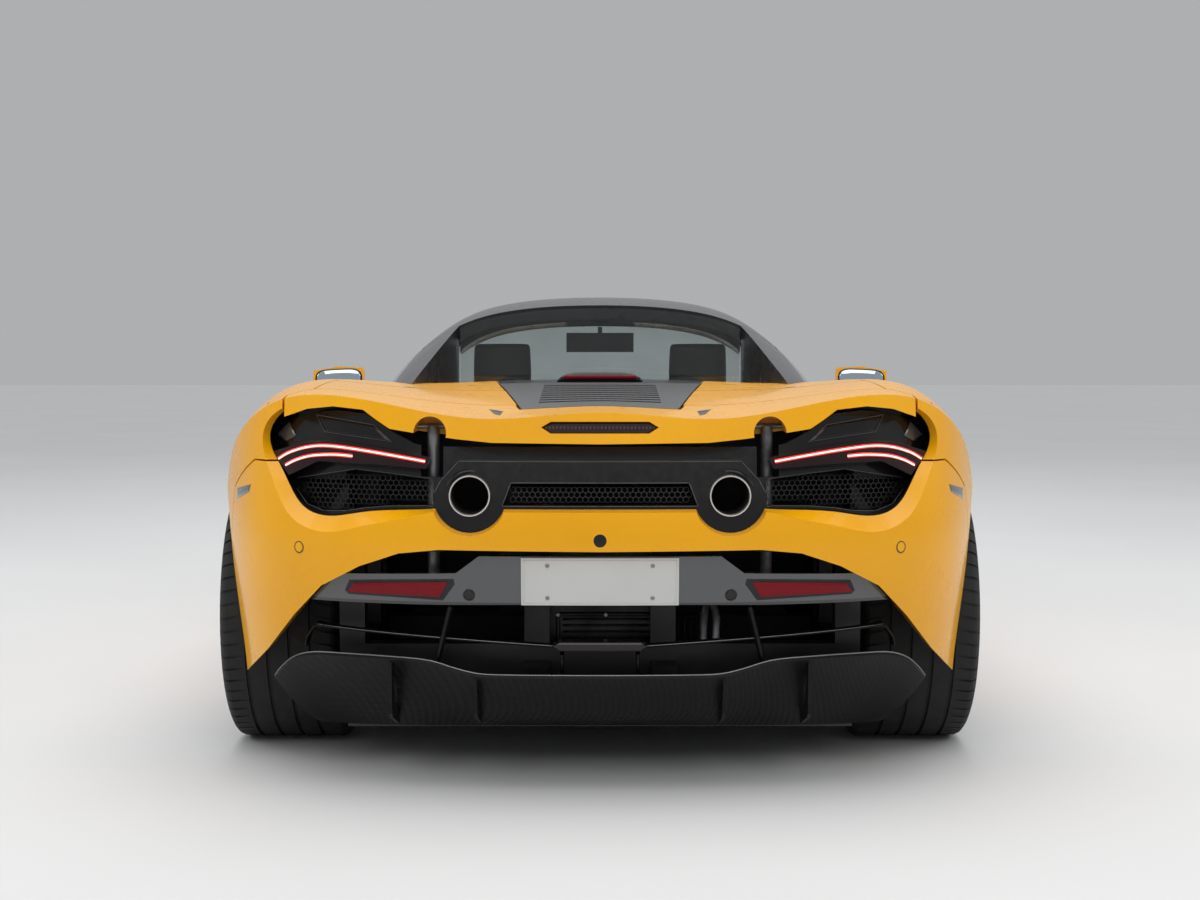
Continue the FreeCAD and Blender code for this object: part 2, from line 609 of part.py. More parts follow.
# The tail's opening, on its right side from the middle of its foot round to the top. Each run is
# smooth, and ends in a corner. The first bends under an exhaust tip, the second goes on outwards.
# A point has its place on the inner edge, and how wide the painted lip flares out there.
UNDER_TIP = [200.9, 225, 247.5, 270, 292.5, 315, 339.1]
OPENING_FOOT = (0, s["exhaust_z"] - 30, 5)
OPENING_RUNS = [
    [(s["exhaust_x"] + s["exhaust_surround"] * math.cos(math.radians(a)),
      s["exhaust_z"] + s["exhaust_surround"] * math.sin(math.radians(a)), 5) for a in UNDER_TIP],
    [(376.5, 667, 5), (430, 664, 14), (483, 662, 26), (548, 656, 34), (594, 648, 38), (651, 646, 40),
     (695, 664, 40), (727, 703, 38), (762, 761, 30), (781, 789, 22), (790, 830, 16), (772, 866, 12),
     (751, 884, 8), (700, 910, 4)],
]


def all_round(foot, runs):
    """The runs of a symmetric closed line, from the left end of its foot and round."""
    first = runs[0][0]
    last = runs[-1][-1]
    flipped = [[(-x, z, lip) for x, z, lip in reversed(run)] for run in reversed(runs)]
    return [[(-first[0], *first[1:]), foot, first], *runs, [last, (-last[0], *last[1:])], *flipped]


def steps_of(run):
    """How far along its run each point lies."""
    steps = [0.0]
    for (x0, z0, _), (x1, z1, _) in zip(run, run[1:]):
        steps.append(steps[-1] + math.hypot(x1 - x0, z1 - z0))
    return steps


def smooth_edge(points, steps):
    """A straight edge through two points, or a smooth one through more, at the given steps."""
    if len(points) == 2:
        return Part.LineSegment(*points).toShape()
    curve = Part.BSplineCurve()
    curve.interpolate(Points=points, Parameters=steps)
    return curve.toShape()


def table_line(pairs):
    """The points of the clamped curve that a table of poles gives."""
    k, m = knots(len(pairs), 3)
    curve = Part.BSplineCurve()
    curve.buildFromPolesMultsKnots([Vector(a, b, 0) for a, b in pairs], m, k, False, 3)
    return [(p.x, p.y) for p in curve.discretize(Number=600)]


def read(line, at):
    for (a, b), (c, d) in zip(line, line[1:]):
        if a <= at <= c:
            return b + (d - b) * (at - a) / (c - a)
    return line[-1][1]


tail_back = table_line([(-x, back) for x, back in reversed(TAIL_WIDTH) if x] + TAIL_WIDTH)
tail_height = table_line(TAIL_HEIGHT)


def tail_point(x, z, deep):
    """A point that lies deep below the tail's skin."""
    return Vector(x, tail + read(tail_height, z) + read(tail_back, x) + deep, z)


def funnel(runs, floor_y):
    """A space that opens through the tail's skin over a closed line, flaring out to its lip."""
    ring = [p for run in runs for p in run[:-1]]
    wide = []
    for i, (x, z, lip) in enumerate(ring):
        x0, z0, _ = ring[i - 1]
        x1, z1, _ = ring[(i + 1) % len(ring)]
        along = Vector(x1 - x0, 0, z1 - z0).normalize()
        wide.append((x + along.z * lip, z - along.x * lip))
    layers = [
        [Vector(x, tail - 230, z) for x, z in wide], [tail_point(x, z, -6) for x, z in wide],
        [tail_point(x, z, 34) for x, z, _ in ring], [Vector(x, floor_y, z) for x, z, _ in ring],
    ]
    edges = [[] for _ in layers]
    start = 0
    for run in runs:
        for row, layer in zip(edges, layers):
            row.append(smooth_edge([layer[(start + k) % len(ring)] for k in range(len(run))], steps_of(run)))
        start += len(run) - 1
    faces = [Part.Face(Part.Wire(row)) for row in (edges[0], edges[-1])]
    for near, far in zip(edges, edges[1:]):
        faces += [Part.makeRuledSurface(a, b) for a, b in zip(near, far)]
    walls = Part.makeShell(faces)
    walls.sewShape()
    solid = Part.makeSolid(walls)
    if solid.Volume < 0:
        solid.reverse()
    return solid


opening_runs = all_round(OPENING_FOOT, OPENING_RUNS)
opening_line = []
for run in opening_runs:
    edge = smooth_edge([Vector(x, 0, z) for x, z, _ in run], steps_of(run))
    opening_line += [(p.x, p.z) for p in edge.discretize(Number=4 * len(run) - 3)[:-1]]


# Rear quarters, from the doors back to the tail
quarter_plan = plan([
    (641, -506), (1100, -622), (1100, -2600), (751, -2600), (751, -1992), (694, -1935), (622 + seat, -1935),
    (622 + seat, -641), (641, -641),
])
quarter = panel(quarter_plan)
quarter = quarter.cut(block(0, 694, -1945, -480, 0, 1200).cut(form(s["skin"] + moving)))
bumper_rear_side = [(-2600, -50), (-1797, -50), (-1797, 560), (-1850, 690), (-1990, 765), (-2600, 765)]
rear_seam = side(bumper_rear_side)
for shift in (Vector(0, gap, 0), Vector(0, 0, gap), Vector(0, gap, gap)):
    wide = rear_seam.copy()
    wide.translate(shift)
    quarter = quarter.cut(wide)
quarter = quarter.cut(wells).cut(tub_zone).cut(block(0, 1200, -1060, -400, 0, 292))
quarter = quarter.cut(door_room)
opening = funnel(opening_runs, -1880)
quarter = quarter.cut(opening)
add("rear_quarters", both(quarter))

# Sills under the doors
skirt = outer.common(block(868 + seat, 1100, -1050, 782, 110, 288)).cut(wells)
add("side_skirts", both(skirt))

# Tonneau, over the folded roof's space
tonneau_line = [(690, -606), (690, -1556), (250, -1556), (283, -1290)]
tonneau_plan = plan(sides_joined(tonneau_line)).cut(block(-433, 433, -660, -500, 0, 1500))
bow_zone = plan(sides_joined([(700, -500), (700, -740), (336, -762), (250, -762)]))
tonneau_skin = panel(tonneau_plan, s["skin"])
tonneau = tonneau_skin.cut(bow_zone)
for x in (-500, 500):
    tonneau = tonneau.cut(block(x - 14, x + 14, -1600, tonneau_hinge.y + 20, 600, 1100))
    tonneau = tonneau.cut(tube_x(4 + seat, x - 34, x + 34, tonneau_hinge.y, tonneau_hinge.z))
add("tonneau_cover", tonneau)
buttress_plan = plan([(436, -606), (720, -606), (720, -1300), (560, -1500), (520, -1440)])
buttress = greenhouse().common(buttress_plan).cut(above)
bow = tonneau_skin.common(plan(sides_joined([(700, -500), (700, -740 + seat), (336, -762 + seat), (250, -762 + seat)])))
glass_plan = plan([(560, -640), (700, -640), (700, -900), (640, -1180), (590, -1180)], 900, 1500)
pocket_depth = s["glass"] + seat
buttress = buttress.cut(glass_plan.cut(greenhouse(pocket_depth)))
pane_line = [(560.3, -640.3), (699.7, -640.3), (699.7, -899.7), (639.7, -1179.7), (590.3, -1179.7)]
buttress_pane = greenhouse().common(plan(pane_line, 900.3, 1500)).cut(greenhouse(s["glass"])).cut(above)
add("buttress_frames", Part.makeCompound([bow, buttress, flip(buttress)]))
add("buttress_glass", both(buttress_pane))

# Rear deck, engine cover and wing
deck = panel(plan([(690, -1573), (690, -1935), (202, -1935), (248, -1562), (420, -1563)]), s["skin"])
deck = deck.cut(tube_x(25, -700, 700, tonneau_hinge.y, tonneau_hinge.z))
add("rear_deck", both(deck))
cover = panel(plan([(277, -1296), (185, -2035), (-185, -2035), (-277, -1296)]), s["skin"])
slots = [block(-150, 150, y, y + 26, 600, 1200) for y in range(-1900, -1400, 60)]
cover = cover.cut(Part.makeCompound(slots))
add("engine_cover", cover)
wing_low = [
    (0, 816), (247, 819), (328, 827), (411, 838), (483, 849), (513, 868), (547, 892), (620, 899), (686, 892),
    (745, 872), (760, 1000),
]
wing_face = rear(wing_low + [(-x, z) for x, z in reversed(wing_low[1:])], -2600, -1900)
wing_top = plan(sides_joined([(745, -2600), (745, -1996), (690, -1942), (206, -1942), (191, -2042)]))
wing = outer.common(wing_face).common(wing_top)
wing_hinge = Vector(0, s["strut_y"], s["wing_pivot_height"])
for x in (-s["strut_x"], s["strut_x"]):
    arch = Part.makeCylinder(38, 700, Vector(x, s["strut_y"] + 24, wing_hinge.z - 12), Vector(0, -1, 0))
    wing = wing.cut(arch).cut(tube_x(6 + seat, x - 54, x + 54, wing_hinge.y, wing_hinge.z))
light_slot = [(-112, 840), (112, 840), (134, 854), (112, 867), (-112, 867), (-134, 854)]
wing = wing.cut(rear(light_slot, -2600, -2000).common(beyond_tail(14)))
add("rear_wing", wing)
rod = tied(
    "Cylinder", "wing_rod", x="Sizes.strut_x", y="Sizes.strut_y", z="Sizes.strut_foot",
    Radius="Sizes.strut_radius", Height="Sizes.wing_pivot_height - Sizes.strut_foot",
)
pin = tied(
    "Cylinder", "wing_pin", Rotation(Vector(0, 1, 0), 90), x="Sizes.strut_x - Sizes.wing_pin_half",
    y="Sizes.strut_y", z="Sizes.wing_pivot_height", Radius="Sizes.wing_pin_radius",
    Height="2 * Sizes.wing_pin_half",
)
as_pair("wing_rods", joined("wing_rod_right", rod, pin))

# Rear bumper
lower_line = [(0, 574), (367, 577), (460, 567), (552, 535), (647, 484), (720, 408), (799, 311), (880, 230), (1100, 40)]
lower_open = rear(lower_line + [(1100, -100), (-1100, -100)] + [(-x, z) for x, z in reversed(lower_line[1:])], -2600, -1700)
tail_bumper = panel(side(bumper_rear_side)).common(beyond_tail(90).fuse([block(720, 1100, -2600, -1700, 0, 900), block(-1100, -720, -2600, -1700, 0, 900)]))
tail_bumper = tail_bumper.cut(opening).cut(lower_open).cut(wells)
add("rear_bumper", tail_bumper)

# Black panel in the tail's opening: a bed across it all, and a raised middle round the exhausts
bed_face = outline(opening_line, lambda x, z: Vector(x, -2600, z)).makeOffset2D(-0.5)
bed_zone = bed_face.extrude(Vector(0, 900, 0))
back_panel = beyond_tail(100).cut(beyond_tail(46)).common(bed_zone)
island = rear([
    (-384, 560), (384, 560), (384, 700), (367, 731), (325, 776), (-325, 776), (-367, 731), (-384, 700),
], -2700, -1600)
back_panel = back_panel.cut(beyond_tail(78).cut(island))
under_wing = [
    (0, 806), (400, 806), (430, 812), (483, 838), (513, 856), (547, 880), (620, 887), (686, 880), (745, 862),
    (751, 862), (751, 1000),
]
back_panel = back_panel.cut(rear(under_wing + [(-x, z) for x, z in reversed(under_wing[1:])], -2600, -1700))
for x in (-s["strut_x"], s["strut_x"]):
    back_panel = back_panel.cut(block(x - 26, x + 26, -2600, -1700, 736, 1000))
tip_holes = Part.makeCompound([
    Part.makeCylinder(s["exhaust_radius"] + seat, 900, Vector(x, -1700, s["exhaust_z"]), Vector(0, -1, 0))
    for x in (-s["exhaust_x"], s["exhaust_x"])
])
mesh_line = [
    (718, 725), (571, 750), (483, 741), (389, 730), (385, 672), (483, 670), (548, 664), (592, 656), (650, 654), (690, 668),
    (718, 700),
]
mesh_side = rear(mesh_line, -2600, -1700)
mesh_mid = rear([(-203, 724), (203, 724), (222, 675), (-222, 675)], -2600, -1700)
mesh_zone = mesh_side.fuse([flip(mesh_side), mesh_mid])
back_panel = back_panel.cut(tip_holes).cut(mesh_zone)
add("rear_panel", back_panel)
side_layer = beyond_tail(92).cut(beyond_tail(88)).common(mesh_side)
mid_layer = beyond_tail(62).cut(beyond_tail(58)).common(mesh_mid)
add("rear_mesh", Part.makeCompound([side_layer, flip(side_layer), mid_layer]))

# Exhaust tips: two pipes, bored out from behind
BACKWARDS = Rotation(Vector(1, 0, 0), 90)
pipe = tied(
    "Cylinder", "exhaust_pipe", BACKWARDS, x="Sizes.exhaust_x", y="Sizes.exhaust_front", z="Sizes.exhaust_z",
    Radius="Sizes.exhaust_radius", Height="Sizes.exhaust_length",
)
pipe_bore = tied(
    "Cylinder", "exhaust_bore", BACKWARDS, x="Sizes.exhaust_x",
    y="Sizes.exhaust_front - Sizes.exhaust_length + Sizes.exhaust_bore_length", z="Sizes.exhaust_z",
    Radius="Sizes.exhaust_radius - Sizes.exhaust_wall", Height="Sizes.exhaust_bore_length + 10",
)
tip = doc.addObject("Part::Cut", "exhaust_tip")
tip.Base = pipe
tip.Tool = pipe_bore
as_pair("exhaust_tips", tip)

# Tail lamps
lamp_line = [
    (781, 787), (703, 812), (614, 818), (483, 800), (388, 783), (400, 757), (527, 766), (659, 770), (735, 734),
]
lamp_layer = beyond_tail(78 - seat).cut(beyond_tail(34))
tail_lamp = lamp_layer.common(rear(lamp_line, -2600, -1700)).common(bed_zone)
add("tail_lamps", both(tail_lamp))

# Plate panel, blank plate and diffuser
plate_zone = [(0, 450), (370, 445), (678, 445), (617, 512), (330, 520), (277, 560), (0, 560)]
plate_area = rear(plate_zone + [(-x, z) for x, z in reversed(plate_zone[1:])], -2600, -1700).common(lower_open)
plate_panel = beyond_tail(60).cut(beyond_tail(30)).common(plate_area)
add("plate_panel", plate_panel)
plate = beyond_tail(30 - seat).cut(beyond_tail(26)).common(block(-180, 180, -2600, -1900, 447, 557))
add("number_plate", plate)
floor_plate = side([(-1900 - seat, 104), (-1900 - seat, 118), (-2240, 305), (-2240, 291)], -680, 680)
diffuser = floor_plate.cut(beyond_tail(20))
lip_face = [(0, 258), (460, 258), (700, 295), (740, 350), (690, 345), (460, 300), (0, 300)]
lip = beyond_tail(32).cut(beyond_tail(6)).common(rear(lip_face + [(-x, z) for x, z in reversed(lip_face[1:-1])], -2600, -1700))
fin_side = side([(-1960, 400), (-1960, 170), (-2240, 185), (-2240, 400)]).cut(beyond_tail(10))
fin_side = fin_side.cut(side([(-1800, 50), (-1800, 1000), (-2600, 1000), (-2600, 495), (-1900, 110)]))
fins = [fin_side.common(block(x - 4, x + 4, -2600, -1900, 100, 400)) for x in (-489, -290, 290, 489)]
blade_line = [(-104, 338), (-670, 378), (-690, 330), (-700, 330), (-680, 392), (-104, 350)]
blade = beyond_tail(84).cut(beyond_tail(44)).common(rear(blade_line, -2600, -1700))
stay_line = [(-350, 444.6), (-336, 444.6), (-374, 290), (-388, 290)]
stay = beyond_tail(76).cut(beyond_tail(20)).common(rear(stay_line, -2600, -1700))
prop_layer = beyond_tail(72).cut(beyond_tail(20))
props = [prop_layer.common(block(x - 4, x + 4, -2600, -1700, 285, 325)) for x in (-100, 100)]
shelf = beyond_tail(84).cut(beyond_tail(26)).common(block(-110, 110, -2600, -1700, 318, 326 - seat))
diffuser = diffuser.fuse([lip, blade, flip(blade), stay, flip(stay), shelf] + props + fins)
add("diffuser", diffuser)
fog_lamp = beyond_tail(74).cut(beyond_tail(24)).common(block(-103, 103, -2600, -1700, 326, 358))
add("fog_lamp", fog_lamp)

# Cabin
SEAT_PADS = [
    # x0, x1, outline of (y, z)
    (150, 510, [(130, 150.3), (140, 280), (90, 335), (-240, 265), (-330, 265), (-400, 150.3)]),
    (150, 510, [(-240, 265.3), (-330, 330), (-420, 700), (-455, 829), (-560, 829), (-560, 700), (-400.3, 150.6),
                (-332, 265.3)]),
    (215, 400, [(-440, 829.3), (-450, 1000), (-480, 1050), (-530, 1040), (-550, 829.3)]),
    (105, 149.7, [(60, 150.3), (110, 345), (-200, 330), (-390, 150.3)]),
    (510.3, 555, [(60, 150.3), (110, 345), (-200, 330), (-390, 150.3)]),
    (105, 149.7, [(-200.3, 330.4), (-300, 420), (-390, 780), (-560, 780), (-500, 300), (-390.4, 150.5)]),
    (510.3, 555, [(-200.3, 330.4), (-300, 420), (-390, 780), (-560, 780), (-500, 300), (-390.4, 150.5)]),
]
pads = [side(line, x0, x1) for x0, x1, line in SEAT_PADS]
add("seats", Part.makeCompound(pads + [flip(p) for p in pads]))
dash_front = s["dash_front"] - seat
dash_side = [(dash_front, 520), (dash_front, 762), (760, 762), (620, 735), (570, 680), (600, 590), (720, 540)]
padded("dashboard", "YZ_Plane", dash_side, "-Sizes.dash_half", "2 * Sizes.dash_half")
foot_z = s["cabin_floor"] + seat
console_side = [
    (-560, foot_z), (-560, 340), (-100, 350), (300, 420), (560, 585), (600, 590 - 3 * seat),
    (720, 540 - 3 * seat), (790, 500), (790, foot_z),
]
padded("centre_console", "YZ_Plane", console_side, "-Sizes.console_half", "2 * Sizes.console_half")
rim = Part.makeTorus(172, 15, Vector(0, 0, 0), Vector(0, 0, 1))
spoke = Part.makeBox(330, 34, 12, Vector(-165, -17, -6))
drop_spoke = Part.makeBox(34, 165, 12, Vector(-17, -165, -6))
column = Part.makeCylinder(34, 260, Vector(0, 0, -8), Vector(0, 0, 1))
steering = rim.fuse([spoke, drop_spoke, column])
steering.Placement = Placement(Vector(-330, 440, 690), Rotation(Vector(1, 0, 0), -72))
steering = steering.cut(side(dash_side, -s["dash_half"], s["dash_half"])).cut(block(-600, 0, 560, 1000, 0, 560))
add("steering_wheel", steering)
glass_mirror = block(-122, 122, 440, 462, 1010, 1080).fuse(block(-8, 8, 450, 470, 1040, 1150)).common(greenhouse(6 + seat))
add("interior_mirror", glass_mirror)


# Wheels and what carries them
WHEELS = [
    # corner, x, y, which end's sizes
    ("fl", -s["track_front"] / 2, front_axle, "front"),
    ("fr", s["track_front"] / 2, front_axle, "front"),
    ("rl", -s["track_rear"] / 2, rear_axle, "rear"),
    ("rr", s["track_rear"] / 2, rear_axle, "rear"),
]
for corner_name, x, y, end in WHEELS:
    radius = s[f"tyre_radius_{end}"]
    w = s[f"tyre_width_{end}"] / 2
    bead = s[f"rim_radius_{end}"]
    disc = s[f"disc_radius_{end}"]
    place = Placement(Vector(x, y, radius), Rotation(Vector(0, 0, 1), 0 if x > 0 else 180))
    tyre = part_body(f"tyre_{corner_name}")
    turned(tyre, [
        (-w + 22.3, bead + seat), (w - 20.3, bead + seat), (w - 20.3, bead + 12), (w, bead + 30),
        (w - 4, radius - 18), (w - 30, radius), (-w + 30, radius), (-w + 4, radius - 18), (-w, bead + 30),
        (-w + 22.3, bead + 12),
    ])
    tyre.Placement = place
    rim_body = part_body(f"wheel_{corner_name}")
    turned(rim_body, [
        (-w + 12, bead + 10), (-w + 22, bead + 10), (-w + 22, bead), (-w + 60, bead), (-w + 80, bead - 14),
        (w - 60, bead - 14), (w - 40, bead), (w - 20, bead), (w - 20, bead + 10), (w - 8, bead + 10),
        (w - 8, bead - 8), (w - 24, bead - 16), (w - 46, 78), (w - 42, 62), (w - 42, 30 + seat), (w - 80, 30 + seat),
        (w - 80, 60), (w - 100, 60), (w - 100, disc), (w - 80, disc), (w - 80, 84), (w - 66, 88), (w - 48, bead - 28),
        (w - 60, bead - 26), (-w + 80, bead - 26), (-w + 50, bead - 12), (-w + 12, bead - 8),
    ])
    lip_r = bead - 34
    window = [
        [(lip_r, 22.6), (lip_r, -22.6), (96, -14.8), (96, 14.8)],
        [(lip_r, 36 + 8.4), (lip_r, 36 - 8.4), (112, 36 - 8), (112, 36 + 8)],
    ]
    loops = [[(r * math.cos(math.radians(a)), r * math.sin(math.radians(a))) for r, a in ring] for ring in window]
    pocket = rim_body.newObject("PartDesign::Pocket", f"{rim_body.Name}_windows")
    pocket.Profile = drawing(rim_body, "YZ_Plane", loops, w - 78)
    pocket.Type = 0
    pocket.setExpression("Length", "Sizes.rim_window_depth")
    pocket.Reversed = True
    rim_body.Tip = pocket
    ring = rim_body.newObject("PartDesign::PolarPattern", f"{rim_body.Name}_ring")
    ring.Originals = [pocket]
    ring.Axis = (pocket.Profile[0], ["N_Axis"])
    ring.Angle = 360
    ring.setExpression("Occurrences", "Sizes.rim_spokes")
    rim_body.Tip = ring
    rim_body.Placement = place


def carrier(end, x, y):
    """A wheel carrier with its spindle, its two ball pins and its brake caliper, right side."""
    w = s[f"tyre_width_{end}"] / 2
    z = s[f"tyre_radius_{end}"]
    disc = s[f"disc_radius_{end}"]
    upright = block(x - 25, x + 12, y - 35, y + 35, z - 123, z + 123)
    upright = upright.fuse([
        block(x + w - 148, x + w - 110, y - 60, y + 60, z - 60, z + 60),
        tube_x(30, x - 25, x + w - 50, y, z), Part.makeCylinder(10, 310, Vector(x, y, z - 155)),
    ])
    ring = tube_x(disc + 16, x + w - 124, x + w - 62, y, z).cut(tube_x(128, x + w - 130, x + w, y, z))
    ring = ring.cut(tube_x(disc + 7, x + w - 106, x + w - 74, y, z)).common(block(x, x + w, y - 300, y - 90, z - 85, z + 85))
    return upright.fuse([ring, block(x + w - 124, x + w - 112, y - 150, y - 30, z - 40, z + 40)])


add("knuckle_fr", carrier("front", s["track_front"] / 2, front_axle))
add("knuckle_fl", flip(carrier("front", s["track_front"] / 2, front_axle)))
add("rear_uprights", both(carrier("rear", s["track_rear"] / 2, rear_axle)))
arms = []
for end, x, y, inner_x in (("front", s["track_front"] / 2, front_axle, 540), ("rear", s["track_rear"] / 2, rear_axle, 620 + seat)):
    z = s[f"tyre_radius_{end}"]
    for height in (z - 140, z + 140):
        run = x - inner_x
        vee = plan([
            (inner_x, y - 94), (inner_x + 24, y - 94), (x - 8, y - 15), (x - 8, y + 15), (inner_x + 24, y + 94),
            (inner_x, y + 94), (inner_x, y + 68), (x - 50, y), (inner_x, y - 68),
        ], height - 11, height + 11)
        vee = vee.fuse(Part.makeCylinder(17, 22, Vector(x, y, height - 11)))
        arms.append(vee.cut(Part.makeCylinder(10 + seat, 40, Vector(x, y, height - 20))))
add("suspension_arms", Part.makeCompound(arms + [flip(a) for a in arms]))

doc.recompute()
for item in doc.Objects:
    if {"Invalid", "Error"} & set(item.State):
        raise RuntimeError(f"{item.Label} wasn't made: {item.State}")
for item in parts:
    if item.Shape.isNull() or not item.Shape.isValid() or not item.Shape.Solids:
        raise RuntimeError(f"{item.Label} isn't a valid solid")
os.makedirs("parts", exist_ok=True)
for item in parts:
    item.Shape.exportStep(f"parts/{item.Label}.step")
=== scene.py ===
import math
import bmesh
import bpy
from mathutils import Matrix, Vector
from mathutils.bvhtree import BVHTree


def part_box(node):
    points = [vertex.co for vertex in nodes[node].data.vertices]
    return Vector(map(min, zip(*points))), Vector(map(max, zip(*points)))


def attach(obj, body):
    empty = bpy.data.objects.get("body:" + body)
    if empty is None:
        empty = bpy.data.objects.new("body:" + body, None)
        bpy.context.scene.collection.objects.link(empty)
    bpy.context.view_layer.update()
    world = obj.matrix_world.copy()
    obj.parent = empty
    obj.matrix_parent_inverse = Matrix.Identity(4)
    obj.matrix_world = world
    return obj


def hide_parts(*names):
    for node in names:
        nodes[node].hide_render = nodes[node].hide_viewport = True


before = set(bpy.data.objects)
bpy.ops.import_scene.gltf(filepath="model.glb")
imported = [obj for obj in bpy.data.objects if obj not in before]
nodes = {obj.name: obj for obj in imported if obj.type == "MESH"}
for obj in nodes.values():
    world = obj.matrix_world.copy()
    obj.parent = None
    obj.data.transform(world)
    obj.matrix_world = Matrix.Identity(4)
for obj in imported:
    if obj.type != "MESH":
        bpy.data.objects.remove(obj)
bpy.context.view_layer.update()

# The camera stands straight behind the car, at chest height and tilted a little down, as in the
# photograph. Its focal length is in pixels of the picture.
CAMERA_PLACE = Vector((0, -6.65, 1.05))
CAMERA_TILT = math.radians(3.2)
CAMERA_FOCUS = 1948
PICTURE_WIDTH, PICTURE_HEIGHT = 1200, 900
SENSOR_WIDTH = 36.0


def add_object(name, data):
    item = bpy.data.objects.new(name, data)
    bpy.context.scene.collection.objects.link(item)
    return item


camera_data = bpy.data.cameras.new("camera")
camera_data.sensor_width = SENSOR_WIDTH
camera_data.lens = SENSOR_WIDTH * CAMERA_FOCUS / PICTURE_WIDTH
camera_data.clip_end = 200
camera = add_object("camera", camera_data)
camera.location = CAMERA_PLACE
camera.rotation_euler = (math.radians(90) - CAMERA_TILT, 0, 0)
bpy.context.scene.camera = camera

# The studio: a plain pale floor, a broad soft light overhead, and softer ones behind, in front and
# at both sides, high enough to keep them out of the level panels' reflections.
bpy.context.scene.view_settings.view_transform = "Standard"


class Wire:
    """One number, colour or vector on its way through a material's nodes."""

    def __init__(self, tree, socket):
        self.tree = tree
        self.socket = socket

    def apply(self, operation, *values):
        node = self.tree.nodes.new("ShaderNodeMath")
        node.operation = operation
        for slot, value in zip(node.inputs, values):
            if isinstance(value, Wire):
                self.tree.links.new(value.socket, slot)
            else:
                slot.default_value = value
        return Wire(self.tree, node.outputs[0])

    def __add__(self, other):
        return self.apply("ADD", self, other)

    def __sub__(self, other):
        return self.apply("SUBTRACT", self, other)

    def __mul__(self, other):
        return self.apply("MULTIPLY", self, other)

    def __truediv__(self, other):
        return self.apply("DIVIDE", self, other)

    def __lt__(self, other):
        return self.apply("LESS_THAN", self, other)

    def __gt__(self, other):
        return self.apply("GREATER_THAN", self, other)

    def __abs__(self):
        return self.apply("ABSOLUTE", self)

    def __mod__(self, other):
        return self.apply("FLOORED_MODULO", self, other)

    __radd__ = __add__


class Finish:
    """A material with one surface shader, and the nodes that feed it."""

    def __init__(self, name, **fixed):
        self.material = bpy.data.materials.new(name)
        self.material.use_nodes = True
        self.tree = self.material.node_tree
        self.tree.nodes.clear()
        self.surface = self.tree.nodes.new("ShaderNodeBsdfPrincipled")
        output = self.tree.nodes.new("ShaderNodeOutputMaterial")
        self.tree.links.new(self.surface.outputs[0], output.inputs["Surface"])
        self.feed(**fixed)

    def feed(self, **sockets):
        for name, value in sockets.items():
            self.put(self.surface.inputs[name.replace("_", " ")], value)

    def put(self, slot, value):
        if isinstance(value, Wire):
            self.tree.links.new(value.socket, slot)
        elif slot.type == "RGBA" and len(value) == 3:
            slot.default_value = (*value, 1)
        else:
            slot.default_value = value

    def node(self, kind, settings=None, sockets=None, out=0):
        item = self.tree.nodes.new(kind)
        for name, value in (settings or {}).items():
            setattr(item, name, value)
        for name, value in (sockets or {}).items():
            self.put(item.inputs[name], value)
        return Wire(self.tree, item.outputs[out])

    def place(self):
        """Where a point lies, in metres, in the piece's own frame."""
        return self.node("ShaderNodeTexCoord", out="Object")

    def axes(self):
        split = self.node("ShaderNodeSeparateXYZ", sockets={0: self.place()})
        return [Wire(self.tree, split.socket.node.outputs[i]) for i in range(3)]

    def noise(self, scale, detail=4.0):
        return self.node("ShaderNodeTexNoise", sockets={
            "Vector": self.place(), "Scale": scale, "Detail": detail})

    def range(self, value, low, high, new_low, new_high):
        return self.node("ShaderNodeMapRange", {"clamp": True}, {
            0: value, 1: low, 2: high, 3: new_low, 4: new_high})

    def blend(self, amount, one, other):
        return self.node(
            "ShaderNodeMix", {"data_type": "RGBA"}, {0: amount, 6: one, 7: other}, out=2)

    def bump(self, height, distance, strength):
        return self.node("ShaderNodeBump", sockets={
            "Height": height, "Distance": distance, "Strength": strength})

    def drift(self, scale, low, high):
        """A number that wanders from low to high, over the middle of a noise."""
        return self.range(self.noise(scale), 0.3, 0.7, low, high)

    def grain(self, scale, detail, depth, strength):
        return self.bump(self.noise(scale, detail), depth, strength)


def soft_light(name, place, aim, size, power):
    data = bpy.data.lights.new(name, "AREA")
    data.shape = "RECTANGLE"
    data.size, data.size_y = size
    data.energy = power
    lamp = add_object(name, data)
    lamp.location = place
    lamp.rotation_euler = (Vector(aim) - Vector(place)).to_track_quat("-Z", "Y").to_euler()


LIGHTS = [
    # name, place, aim, size, power
    ("light_top", (0, -1.0, 5.6), (0, -0.6, 0), (6.0, 6.0), 150),
    ("light_back", (0, -8.5, 5.4), (0, -1.8, 0.5), (8.0, 3.6), 190),
    ("light_left", (-6.4, -1.5, 3.8), (0, -0.6, 0.5), (6.5, 2.6), 90),
    ("light_right", (6.4, -1.5, 3.8), (0, -0.6, 0.5), (6.5, 2.6), 90),
    ("light_front", (0, 6.5, 6.2), (0, 1.5, 0.5), (7.0, 4.0), 90),
]
for name, place, aim, size, power in LIGHTS:
    soft_light(name, place, aim, size, power)
SKY_POWER, SKY_SPREAD = 0.9, math.radians(75)
sky_data = bpy.data.lights.new("light_sky", "SUN")
sky_data.energy = SKY_POWER
sky_data.angle = SKY_SPREAD
add_object("light_sky", sky_data)
ROOM_COLOUR = (0.42, 0.43, 0.44, 1)
world = bpy.data.worlds.new("room")
world.use_nodes = True
world.node_tree.nodes["Background"].inputs["Color"].default_value = ROOM_COLOUR
bpy.context.scene.world = world
FLOOR_REACH, FLOOR_DROP = 40.0, 0.0005
floor_mesh = bpy.data.meshes.new("floor")
floor_mesh.from_pydata(
    [(x * FLOOR_REACH, y * FLOOR_REACH, 0) for x, y in ((-1, -1), (1, -1), (1, 1), (-1, 1))],
    [], [(0, 1, 2, 3)])
floor = add_object("floor", floor_mesh)
floor.location.z = -FLOOR_DROP
